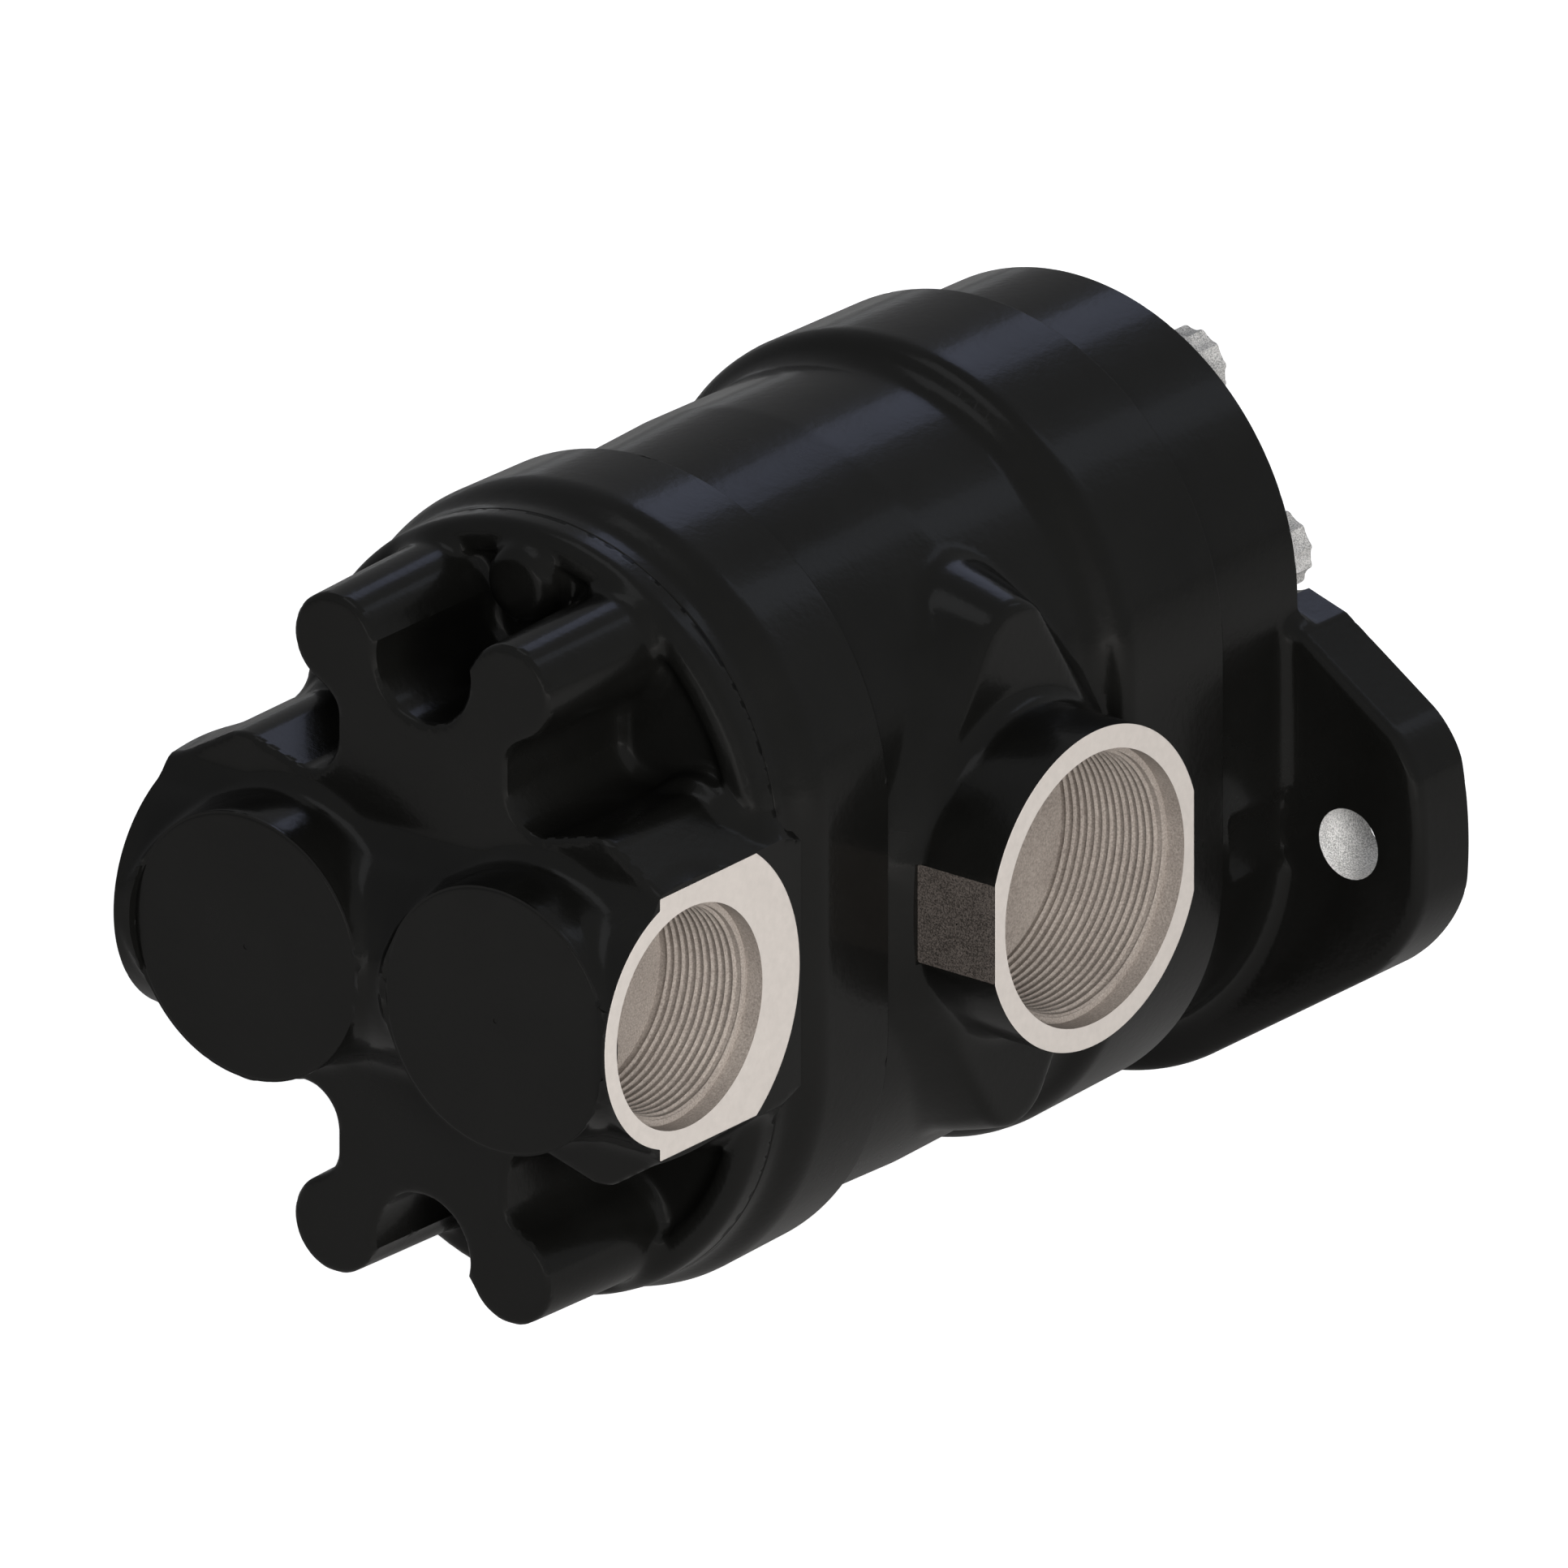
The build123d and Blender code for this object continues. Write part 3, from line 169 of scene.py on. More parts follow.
view = {"azimuth": 38.2, "elevation": 22.2, "scale": 8.3, "pixels": 1932, "target": (0.0, 79.5, 0.2),
        "distance": 3.0}


def addCamera():
    turn, lift = math.radians(view["azimuth"]), math.radians(view["elevation"])
    back = Vector((math.sin(turn) * math.cos(lift), -math.cos(turn) * math.cos(lift), math.sin(lift)))
    data = bpy.data.cameras.new("productCamera")
    data.type = "ORTHO"
    data.ortho_scale = view["pixels"] / view["scale"] / 1000
    camera = bpy.data.objects.new("productCamera", data)
    camera.location = Vector(toWorld(view["target"])) + back * view["distance"]
    camera.rotation_euler = back.to_track_quat("Z", "Y").to_euler()
    bpy.context.scene.collection.objects.link(camera)
    bpy.context.scene.camera = camera


def addLamp(name, place, target, size, power, colour, mirrored):
    # A lamp that isn't mirrored lights the paint and iron without a glare of its own.
    data = bpy.data.lights.new(name, "AREA")
    data.shape = "RECTANGLE"
    data.size, data.size_y = size
    data.energy, data.color = power, colour
    lamp = bpy.data.objects.new(name, data)
    lamp.location = place
    lamp.rotation_euler = (place - target).to_track_quat("Z", "Y").to_euler()
    lamp.visible_glossy = mirrored
    bpy.context.scene.collection.objects.link(lamp)


def addStudio():
    size = {"floorDrop": -0.052, "floorReach": 4.0, "distance": 1.4, "glossShare": 0.09, "worldSoft": 0.07,
            "floorGlow": 0.86, "floorMatt": (0.6, 0.6, 0.6, 1), "floorDim": (0.17, 0.165, 0.16, 1)}
    middle = Vector((0, -0.08, 0.018))

    def panel(name, toward, reach, power, colour, mirrored=True):
        place = middle + Vector(toward).normalized() * size["distance"]
        addLamp(name, place, middle, reach, power, colour, mirrored)

    def backdropShare(tree):
        # All of the white backdrop for the camera, a part of it for gloss, so that black paint stays black.
        path = addNode(tree, "ShaderNodeLightPath")
        part = addNode(tree, "ShaderNodeMath", {0: path.outputs["Is Glossy Ray"], 1: size["glossShare"]},
                       operation="MULTIPLY").outputs[0]
        seen = addNode(tree, "ShaderNodeMath", {0: path.outputs["Is Camera Ray"],
                                                1: path.outputs["Is Transmission Ray"]}, operation="MAXIMUM")
        return addNode(tree, "ShaderNodeMath", {0: seen.outputs[0], 1: part}, operation="MAXIMUM").outputs[0]

    panel("skyPanel", (-0.28, 0.73, 0.62), (0.3, 0.6), 0.3, (0.6, 0.68, 1.0))
    panel("rightSkyPanel", (0.3, 0.72, 0.6), (0.2, 0.6), 0.12, (0.75, 0.83, 1.0))
    panel("topPanel", (-0.1, -0.2, 1.0), (0.9, 0.5), 0.4, (0.95, 0.97, 1.0))
    panel("lowRearPanel", (0.1, -0.95, -0.02), (0.9, 0.25), 0.35, (1.0, 0.98, 0.95))
    panel("keyPanel", (0.87, -0.47, 0.17), (0.5, 0.4), 19.5, (1.0, 0.985, 0.97), False)
    panel("cameraFill", (0.573, -0.728, 0.378), (0.6, 0.6), 12.0, (1.0, 0.99, 0.98), False)
    panel("frontStrip", (-0.57, 0.82, 0.06), (1.2, 0.12), 0.12, (0.95, 0.97, 1.0))
    panel("frontFill", (-0.5, 0.85, 0.25), (0.6, 0.6), 9.0, (0.96, 0.98, 1.0), False)

    world = bpy.data.worlds.new("studioWorld")
    bpy.context.scene.world = world
    tree = nodeTree(world)
    soft = addNode(tree, "ShaderNodeBackground", {"Color": (0.95, 0.97, 1.0, 1),
                                                  "Strength": size["worldSoft"]})
    white = addNode(tree, "ShaderNodeBackground", {"Color": (1, 1, 1, 1), "Strength": 1.0})
    mixed = addNode(tree, "ShaderNodeMixShader", {0: backdropShare(tree), 1: soft.outputs[0],
                                                  2: white.outputs[0]})
    addNode(tree, "ShaderNodeOutputWorld", {"Surface": mixed.outputs[0]})

    reach, drop = size["floorReach"], size["floorDrop"]
    corners = [(-reach, -reach, drop), (reach, -reach, drop), (reach, reach, drop), (-reach, reach, drop)]
    mesh = bpy.data.meshes.new("studioFloor")
    mesh.from_pydata(corners, [], [(0, 1, 2, 3)])
    floor = bpy.data.objects.new("studioFloor", mesh)
    bpy.context.scene.collection.objects.link(floor)
    material = bpy.data.materials.new("paleFloor")
    tree = nodeTree(material)
    matt = addNode(tree, "ShaderNodeBsdfDiffuse", {"Color": size["floorMatt"]})
    dim = addNode(tree, "ShaderNodeBsdfDiffuse", {"Color": size["floorDim"]})
    glow = addNode(tree, "ShaderNodeEmission", {"Color": (1, 1, 1, 1), "Strength": size["floorGlow"]})
    lit = addNode(tree, "ShaderNodeAddShader", {0: glow.outputs[0], 1: matt.outputs[0]})
    mixed = addNode(tree, "ShaderNodeMixShader", {0: backdropShare(tree), 1: dim.outputs[0],
                                                  2: lit.outputs[0]})
    finishTree(tree, mixed.outputs[0])
    mesh.materials.append(material)


addCamera()
addStudio()
bpy.context.scene.view_settings.view_transform = "Standard"
print("camera, light and floor ready")

# Each casting is a field over (x, d, h), negative inside, so that every corner gets the
# rounding of a real casting. The field's surface is then meshed.


def roundUnion(a, b, r):
    return np.maximum(r, np.minimum(a, b)) - np.hypot(np.maximum(r - a, 0), np.maximum(r - b, 0))


def roundMeet(a, b, r):
    return np.minimum(-r, np.maximum(a, b)) + np.hypot(np.maximum(r + a, 0), np.maximum(r + b, 0))


def roundCut(a, b, r):
    return roundMeet(a, -b, r)


def meet(*fields):
    result = fields[0]
    for field in fields[1:]:
        result = np.maximum(result, field)
    return result


def cut(a, b):
    return np.maximum(a, -b)


def spineRadius(x, h):
    return np.hypot(x, np.maximum(np.abs(h) - midZ, 0))


def figureEight(x, h, radius):
    return np.hypot(x, np.abs(h) - midZ) - radius


def slopes(field, p, reach=0.02):
    n = np.zeros_like(p)
    for k in range(3):
        a, b = p.copy(), p.copy()
        a[:, k] -= reach
        b[:, k] += reach
        n[:, k] = field(b[:, 0], b[:, 1], b[:, 2]) - field(a[:, 0], a[:, 1], a[:, 2])
    return n / np.maximum(np.linalg.norm(n, axis=1), 1e-12)[:, None]


def castMesh(name, field, low, high, step):
    # Meshes the field's surface: one vertex in each cell that the surface crosses, placed
    # where the tangent planes of its edge crossings meet, so that edges stay crisp.
    towardMiddle, sharpAngle = 0.012, 38
    axes = [np.arange(a - step, b + 2 * step, step) for a, b in zip(low, high)]
    grid = np.broadcast_to(field(axes[0][:, None, None], axes[1][None, :, None], axes[2][None, None, :]),
                           [len(a) for a in axes])
    shape = np.array(grid.shape)
    inside = grid < 0
    start = np.array([a[0] for a in axes])
    cells = int(np.prod(shape))
    crossings, quads = [], []
    for axis in range(3):
        ahead = [slice(None)] * 3
        behind = [slice(None)] * 3
        ahead[axis], behind[axis] = slice(1, None), slice(None, -1)
        i = np.argwhere(inside[tuple(ahead)] != inside[tuple(behind)])
        j = i.copy()
        j[:, axis] += 1
        va, vb = grid[tuple(i.T)], grid[tuple(j.T)]
        pa = start + i * step
        ta, tb = np.zeros(len(i)), np.ones(len(i))
        for _ in range(4):
            t = np.clip(ta + (tb - ta) * va / (va - vb), ta + 0.02 * (tb - ta), tb - 0.02 * (tb - ta))
            p = pa.copy()
            p[:, axis] += t * step
            v = field(p[:, 0], p[:, 1], p[:, 2])
            same = (v < 0) == (va < 0)
            ta, va = np.where(same, t, ta), np.where(same, v, va)
            tb, vb = np.where(same, tb, t), np.where(same, vb, v)
        p = pa.copy()
        p[:, axis] += (ta + (tb - ta) * va / (va - vb)) * step
        n = slopes(field, p)
        outward = inside[tuple(i.T)]
        u, w = (axis + 1) % 3, (axis + 2) % 3
        corners = []
        for du, dw in ((0, 0), (-1, 0), (-1, -1), (0, -1)):
            c = i.copy()
            c[:, u] += du
            c[:, w] += dw
            corners.append(np.ravel_multi_index(c.T, shape))
        corners = np.stack(corners, 1)
        quads.append(np.where(outward[:, None], corners, corners[:, ::-1]))
        crossings.append((corners, p, n))
    matrix, side = np.zeros((cells, 6)), np.zeros((cells, 3))
    total, count = np.zeros((cells, 3)), np.zeros(cells)
    pairs = [(0, 0), (0, 1), (0, 2), (1, 1), (1, 2), (2, 2)]
    for corners, p, n in crossings:
        reach = (n * p).sum(1)
        for c in range(4):
            cell = corners[:, c]
            count += np.bincount(cell, minlength=cells)
            for k, (a, b) in enumerate(pairs):
                matrix[:, k] += np.bincount(cell, n[:, a] * n[:, b], cells)
            for k in range(3):
                side[:, k] += np.bincount(cell, n[:, k] * reach, cells)
                total[:, k] += np.bincount(cell, p[:, k], cells)
    used = np.nonzero(count)[0]
    count = count[used][:, None]
    centre = total[used] / count
    m = np.zeros((len(used), 3, 3))
    for k, (a, b) in enumerate(pairs):
        m[:, a, b] = m[:, b, a] = matrix[used, k]
    bias = towardMiddle * count
    m += np.eye(3) * bias[:, :, None]
    points = np.linalg.solve(m, (side[used] + bias * centre)[:, :, None])[:, :, 0]
    corner = start + np.stack(np.unravel_index(used, shape), 1) * step
    points = np.clip(points, corner, corner + step)
    index = np.full(cells, -1)
    index[used] = np.arange(len(used))
    faces = index[np.concatenate(quads)]
    # depth runs against the frame's Y, so every face is turned over once
    faces = faces[:, ::-1]
    mesh = bpy.data.meshes.new(name)
    mesh.from_pydata(toWorld(points).tolist(), [], faces.tolist())
    mesh.validate()
    mesh.shade_smooth()
    mesh.set_sharp_from_angle(angle=math.radians(sharpAngle))
    print(name, "faces", len(faces))
    return mesh


def roundedApex(across, along, apex, nAcross, nAlong, radius):
    # two mirrored sides that meet at the apex, with a true arc between them
    level = along - apex + radius / nAlong
    arc = np.hypot(across, level)
    side = nAcross * np.abs(across) + nAlong * level
    return np.where(np.abs(across) * nAlong < nAcross * level, arc, side) - radius


def boreOut(whole, port, along, bores):
    # Round bores of (radius, floor) about a port's axis; the liners stand in front of them.
    for radius, floor in bores:
        whole = cut(whole, meet(port - radius, floor - along))
    return whole


cover = {"start": 136.0, "floor": 139.5, "rimTop": 141.3, "rimRadius": 43.4, "rimInner": 38.6, "rimEdge": 2.5,
         "floorFillet": 2.0, "innerEdge": 0.9, "baseFillet": 2.4, "clearR": 43.45, "sink": 3.2,
         "plate": 166.7, "plateEdge": 1.0, "webDraft": 0.021, "lugX": 16.5, "lugH": 46.7, "lugR": 7.6,
         "notchR": 8.9, "neck": 15.9, "neckFillet": 4.0, "waist": 25.0, "waistX": 28.0, "waistFillet": 6.6,
         "blockInner": 20.0, "blockStart": 132.8, "roofEdge": 2.2, "riseX": 22.5, "rise": 0.286,
         "riseLength": 1.04, "ridgeX": 34.3, "ridgeH": 28.4, "fallNear": 0.665, "fallFar": 0.6015,
         "fallLength": 1.19, "footDepth": 137.2, "footLean": 0.3, "barD": 159.6, "barR": 20.4, "waistR": 18.8,
         "discX": 23.6, "discR": 21.1, "end": 178.8, "crown": 1.2, "capGap": 0.1, "discFillet": 2.2,
         "portFillet": 3.2, "faceX": 45.14, "farX": 47.6, "dowelH": 52.5, "dowelR": 6.2, "dowelEdge": 2.4,
         "ribX": 2.5, "ribLow": 37.0, "ribHigh": 52.0, "ribTop": 142.0, "ribEdge": 1.2, "landX": 32.7,
         "landH": 21.7, "landR": 8.0, "landEdge": 2.0, "bossTop": 144.0, "bossFillet": 1.6,
         "bores": ((17.0, 26.2), (18.0, 41.8), (8.3, -20.0))}


def coverField(x, d, h):
    c = cover
    r = spineRadius(x, h)
    ax, ah = np.abs(x), np.abs(h)
    base = roundMeet(r - c["rimRadius"], d - c["rimTop"], c["rimEdge"])
    pocket = roundMeet(r - c["rimInner"], c["floor"] - d, c["floorFillet"])
    base = meet(roundCut(base, pocket, c["innerEdge"]), c["start"] - d)
    # the star web: lugs, necks and waist, with round notches between the lugs
    lug = np.hypot(ax - c["lugX"], ah - c["lugH"]) - c["lugR"]
    star = roundUnion(lug, meet(ax - c["neck"], ah - c["lugH"]), c["neckFillet"])
    star = roundUnion(star, meet(ax - c["waistX"], ah - c["waist"]), c["waistFillet"])
    star = cut(star, np.hypot(x, ah - c["lugH"]) - c["notchR"])
    web = roundMeet(star - c["webDraft"] * (c["plate"] - d), d - c["plate"], c["plateEdge"])
    # side blocks, whose roof rises from the waist and falls towards the side
    near = x > 0
    faceX = np.where(near, c["faceX"], c["farX"])
    fall = np.where(near, c["fallNear"], c["fallFar"])
    rise = (ah - c["waist"] - c["rise"] * (ax - c["riseX"])) / c["riseLength"]
    drop = (ah - c["ridgeH"] + fall * (ax - c["ridgeX"])) / c["fallLength"]
    drop = drop + c["footLean"] * np.maximum(c["footDepth"] - d, 0)
    roof = roundMeet(rise, drop, c["roofEdge"])
    block = roundMeet(roof, d - c["plate"], c["plateEdge"])
    block = meet(block, ax - faceX, c["blockInner"] - ax, c["blockStart"] - d)
    block = cut(block, meet(r - c["clearR"], d - c["start"]))
    # the cross bar between the two round bosses, slimmer in its middle
    barRadius = c["waistR"] + (c["barR"] - c["waistR"]) * np.minimum(ax / c["discX"], 1) ** 2
    bar = np.hypot(d - c["barD"], h) - barRadius
    disc = np.hypot(ax - c["discX"], h) - c["discR"]
    bar = cut(meet(bar, c["start"] - d), meet(disc, c["end"] - d))
    bar = meet(bar, ax - faceX)
    ends = meet(disc, d - c["end"] + c["capGap"], c["start"] - d, ax - faceX)
    ports = roundUnion(bar, ends, c["discFillet"])
    # low bosses and ribs on the base
    dowel = np.hypot(x, ah - c["dowelH"]) - c["dowelR"]
    dowel = roundMeet(dowel, d - c["bossTop"], c["dowelEdge"])
    rib = meet(ax - c["ribX"], c["ribLow"] - ah, ah - c["ribHigh"])
    rib = roundMeet(rib, d - c["ribTop"], c["ribEdge"])
    land = np.hypot(ax - c["landX"], ah - c["landH"]) - c["landR"]
    land = roundMeet(land, d - c["bossTop"], c["landEdge"])
    upper = roundUnion(np.minimum(web, block), ports, c["portFillet"])
    whole = roundUnion(base, meet(upper, c["start"] - d - c["sink"]), c["baseFillet"])
    for part, fillet in ((dowel, c["bossFillet"]), (rib, c["ribEdge"]), (land, c["bossFillet"])):
        whole = roundUnion(whole, meet(part, c["start"] - d), fillet)
    whole = meet(whole, x - c["faceX"], -c["farX"] - x, d - c["end"] - c["crown"])
    whole = cut(whole, meet(r - c["clearR"], d - c["start"]))
    whole = cut(whole, meet(disc + c["capGap"], c["end"] - c["capGap"] - d))
    return boreOut(whole, np.hypot(d - c["barD"], h), x, c["bores"])


front = {"start": 31.1, "end": 111.8, "ringR": 45.6, "ringEnd": 54.5, "ringEdge": 1.3, "ringFillet": 1.8,
         "slopeEnd": 58.1, "middleR": 42.6, "portD": 82.8, "padX": 46.5, "padRun": 16.5, "padEdge": 1.1,
         "padSideEdge": 3.0, "padFillet": 1.3, "side": 24.2, "sideGrow": 19.8, "sideH": 9.0, "sideHGrow": 8.0,
         "apex": 48.9, "apexGrow": 0.3, "apexR": 8.0, "apexRGrow": 6.0, "sideSlope": 1.56, "endSlope": 1.1,
         "bossR": 25.2, "flat": 23.9, "faceX": 61.24, "bossEdge": 0.3, "bossFillet": 3.2, "farX": 53.94,
         "farR": 20.6, "farEdge": 0.8, "bareD": 106.58, "bareH": 7.9,
         "bores": ((21.0, 38.5), (22.0, 57.7), (10.3, 16.0)),
         "farBores": ((17.0, 35.0), (18.0, 50.6), (8.3, 16.0)),
         "gearR": 21.0, "gearStart": 40.0, "gearEnd": 84.7}


def frontField(x, d, h):
    c = front
    r = spineRadius(x, h)
    middle = r - (c["middleR"] - np.abs(d - c["portD"]) * draft)
    ring = r - (c["ringR"] - (c["ringEnd"] - d) * draft)
    fallTo = c["middleR"] - (c["portD"] - c["slopeEnd"]) * draft
    run, drop = c["slopeEnd"] - c["ringEnd"], c["ringR"] - fallTo
    ringEnd = ((r - c["ringR"]) * run + (d - c["ringEnd"]) * drop) / math.hypot(run, drop)
    body = roundUnion(roundMeet(ring, ringEnd, c["ringEdge"]), middle, c["ringFillet"])
    # the lozenge pad of the inlet, which grows towards the body
    u, ah = np.abs(d - c["portD"]), np.abs(h)
    t = np.clip((c["padX"] - x) / c["padRun"], -0.2, 1.4)
    side, sideH = c["side"] + c["sideGrow"] * t, c["sideH"] + c["sideHGrow"] * t
    apex, apexR = c["apex"] + c["apexGrow"] * t, c["apexR"] + c["apexRGrow"] * t
    length = np.hypot(apex - sideH, side)
    ends = roundedApex(u, ah, apex, (apex - sideH) / length, side / length, apexR)
    pad = roundMeet((u - side) / c["sideSlope"], ends / c["endSlope"], c["padSideEdge"])
    pad = meet(roundMeet(pad, x - c["padX"], c["padEdge"]), -x)
    body = roundUnion(body, pad, c["padFillet"])
    port = np.hypot(d - c["portD"], h)
    boss = meet(roundMeet(port - c["bossR"], x - c["faceX"], c["bossEdge"]), u - c["flat"], -x)
    body = roundUnion(body, boss, c["bossFillet"])
    far = meet(roundMeet(port - c["farR"], -x - c["farX"], c["farEdge"]), x)
    body = roundUnion(body, far, c["bossFillet"])
    body = cut(body, meet(c["bareD"] - d, c["padX"] + 0.1 - x, ah - c["bareH"]))
    body = meet(body, c["start"] - d, d - c["end"])
    body = boreOut(body, port, x, c["bores"])
    body = boreOut(body, port, -x, c["farBores"])
    return cut(body, meet(figureEight(x, h, c["gearR"]), d - c["gearEnd"], c["gearStart"] - d))


flange = {"bodyR": 41.35, "bodyStart": 8.8, "end": 31.1, "ear": 11.6, "earEdge": 1.6, "earFillet": 2.6,
          "tipR": 66.8, "lean": 33.4, "lower": 48.6, "upper": 50.0, "shoulderX": 43.75, "corner": 7.5,
          "upperCorner": 3.5, "pilotR": 41.275, "pilot": 6.35, "pilotEdge": 0.8, "pilotSlope": 1.414,
          "headR": 7.4, "sideX": 32.7, "sideH": 21.7, "lugX": 16.5, "lugH": 46.7, "holeX": 53.2,
          "holeR": 5.55, "wayR": 13.0, "wayEnd": 25.5, "wayEdge": 0.8, "sealR": 19.0, "sealDepth": 3.0,
          "shaftR": 12.1}


def flangeField(x, d, h):
    c = flange
    ax, z = np.abs(x), h + midZ
    lean = math.radians(c["lean"])
    s, k = math.sin(lean), math.cos(lean)
    body = spineRadius(x, h) - (c["bodyR"] + (d - c["bodyStart"]) * draft)
    body = meet(body, c["bodyStart"] - d)
    centred = np.hypot(x, z)
    tip = centred - c["tipR"]
    lower = np.where(ax * k < -z * s, centred - c["lower"], s * ax - k * z - c["lower"])
    lower = roundMeet(lower, tip, c["corner"])
    upper = roundMeet(s * ax + k * z - c["upper"], tip, c["upperCorner"])
    shoulderZ = (c["upper"] - s * c["shoulderX"]) / k
    shoulder = (z - shoulderZ) * math.cos(lean / 2) + (ax - c["shoulderX"]) * math.sin(lean / 2)
    outline = np.minimum(meet(lower, upper, shoulder), centred - c["lower"])
    plate = roundMeet(outline, d - c["ear"], c["earEdge"])
    whole = meet(roundUnion(body, meet(plate, -d), c["earFillet"]), -d, d - c["end"])
    pilot = meet(centred - c["pilotR"], -c["pilot"] - d, d - 1.0,
                 (centred - c["pilotR"] - d - c["pilot"] + c["pilotEdge"]) / c["pilotSlope"])
    whole = np.minimum(whole, pilot)
    # pockets for the screw heads, the holes in the ears with a way behind each, and the shaft's bore
    headTop = np.hypot(ax - c["sideX"], h - c["sideH"])
    headSide = np.hypot(ax - c["sideX"], h + c["sideH"])
    headLow = np.hypot(ax - c["lugX"], h + c["lugH"])
    heads = meet(np.minimum(np.minimum(headTop, headSide), headLow) - c["headR"], d - c["bodyStart"])
    whole = cut(whole, heads)
    hole = np.hypot(ax - c["holeX"], z)
    whole = cut(whole, meet(hole - c["holeR"], d - 20.0))
    whole = cut(whole, roundMeet(hole - c["wayR"], meet(c["ear"] - d, d - c["wayEnd"]), c["wayEdge"]))
    whole = cut(whole, meet(centred - c["sealR"], d - c["sealDepth"]))
    return cut(whole, centred - c["shaftR"])


rearRing = {"start": 111.8, "end": 136.0, "ringR": 45.7, "ringEnd": 130.1, "ringEdge": 2.4, "bodyR": 43.4,
            "bodyFillet": 1.2, "inside": 36.0}


def rearRingField(x, d, h):
    c = rearRing
    r = spineRadius(x, h)
    ring = r - (c["ringR"] - (c["ringEnd"] - d) * draft)
    ringEnd = ((r - c["ringR"]) + (d - c["ringEnd"])) / math.sqrt(2)
    body = roundUnion(roundMeet(ring, ringEnd, c["ringEdge"]), r - c["bodyR"], c["bodyFillet"])
    body = meet(body, c["start"] - d, d - c["end"])
    return cut(body, r - c["inside"])


def draftObject(name, mesh):
    # A working object, for modifiers only.
    thing = bpy.data.objects.new(name + "Draft", mesh)
    bpy.context.scene.collection.objects.link(thing)
    return thing


def bakedMesh(thing):
    # The plain mesh of a working object with its modifiers applied.
    graph = bpy.context.evaluated_depsgraph_get()
    mesh = bpy.data.meshes.new_from_object(thing.evaluated_get(graph), depsgraph=graph)
    thing.modifiers.clear()
    bpy.data.objects.remove(thing)
    return mesh


def softenJoints(name, mesh, planes):
    # Rounds the outer edges that lie in the joint planes, and no others.
    size = {"width": 0.25, "merge": 0.4, "near": 0.08, "outside": 39.5, "blockX": 36, "blockH": 24}
    work = bmesh.new()
    work.from_mesh(mesh)
    rim = [v for v in work.verts if any(abs(-v.co.y * 1000 - plane) < size["near"] for plane in planes)
           and spineRadius(v.co.x * 1000, v.co.z * 1000 - midZ) > size["outside"]]
    bmesh.ops.remove_doubles(work, verts=rim, dist=size["merge"] / 1000)
    work.to_mesh(mesh)
    work.free()
    points = np.empty(len(mesh.vertices) * 3)
    mesh.vertices.foreach_get("co", points)
    points = points.reshape(-1, 3) * 1000
    ends = np.empty(len(mesh.edges) * 2, int)
    mesh.edges.foreach_get("vertices", ends)
    ends = ends.reshape(-1, 2)
    sharp = np.zeros(len(mesh.edges), bool)
    mesh.attributes["sharp_edge"].data.foreach_get("value", sharp)
    outer = spineRadius(points[:, 0], points[:, 2] - midZ) > size["outside"]
    chosen = np.zeros(len(mesh.edges), bool)
    for plane in planes:
        near = (np.abs(-points[:, 1] - plane) < size["near"]) & outer
        if plane == cover["start"]:
            # the cover's side blocks reach over this joint and keep their corners
            near &= (np.abs(points[:, 0]) < size["blockX"]) | (np.abs(points[:, 2] - midZ) > size["blockH"])
        chosen |= near[ends].all(1)
    chosen &= sharp
    weight = mesh.attributes.new("bevel_weight_edge", "FLOAT", "EDGE")
    weight.data.foreach_set("value", chosen.astype(float))
    thing = draftObject(name, mesh)
    bevel = thing.modifiers.new("jointRounding", "BEVEL")
    bevel.width, bevel.segments = size["width"] / 1000, 2
    bevel.limit_method = "WEIGHT"
    bevel.use_clamp_overlap = False
    rounded = bakedMesh(thing)
    print(name, "rounded", int(chosen.sum()), "joint edges, faces", len(rounded.polygons))
    return rounded


castings = {
    "coverCasting": {"field": coverField, "low": (-48.5, 132, -63), "high": (46, 181, 63), "step": 0.8,
                     "joints": (136.0,), "node": "rear_port_cover"},
    "frontCasting": {"field": frontField, "low": (-55, 30, -66), "high": (62, 113, 66), "step": 1.05,
                     "joints": (31.1, 111.8), "node": "front_gear_housing"},
    "flangeCasting": {"field": flangeField, "low": (-68, -7.5, -68), "high": (68, 32, 63), "step": 0.9,
                      "joints": (31.1,), "node": "mounting_flange"},
    "rearRingCasting": {"field": rearRingField, "low": (-47, 110, -66), "high": (47, 137, 66), "step": 1.0,
                        "joints": (111.8, 136.0), "node": "rear_gear_housing"}}
for name, size in castings.items():
    step = size["step"]
    rough = castMesh(name, size["field"], size["low"], size["high"], step)
    rounded = softenJoints(name, rough, size["joints"])
    newObject(name, rounded, paint, replaced=(size["node"],))
print("castings ready")


def loftMesh(name, loops, sharp=35):
    # A closed shell through loops of (x, d, h) points; the last loop joins the first.
    loops = np.asarray(loops, float)
    count, around = loops.shape[:2]
    a = np.arange(count * around).reshape(count, around)
    b = np.roll(a, -1, 0)
    quads = np.stack([a, np.roll(a, -1, 1), np.roll(b, -1, 1), b], -1).reshape(-1, 4)
    points = toWorld(loops.reshape(-1, 3))
    p = points[quads]
    volume = sum((p[:, 0] * np.cross(p[:, i], p[:, i + 1])).sum() for i in (1, 2))
    if volume < 0:
        quads = quads[:, ::-1]
    mesh = bpy.data.meshes.new(name)
    mesh.from_pydata(points.tolist(), [], quads.tolist())
    mesh.validate()
    mesh.shade_smooth()
    mesh.set_sharp_from_angle(angle=math.radians(sharp))
    return mesh


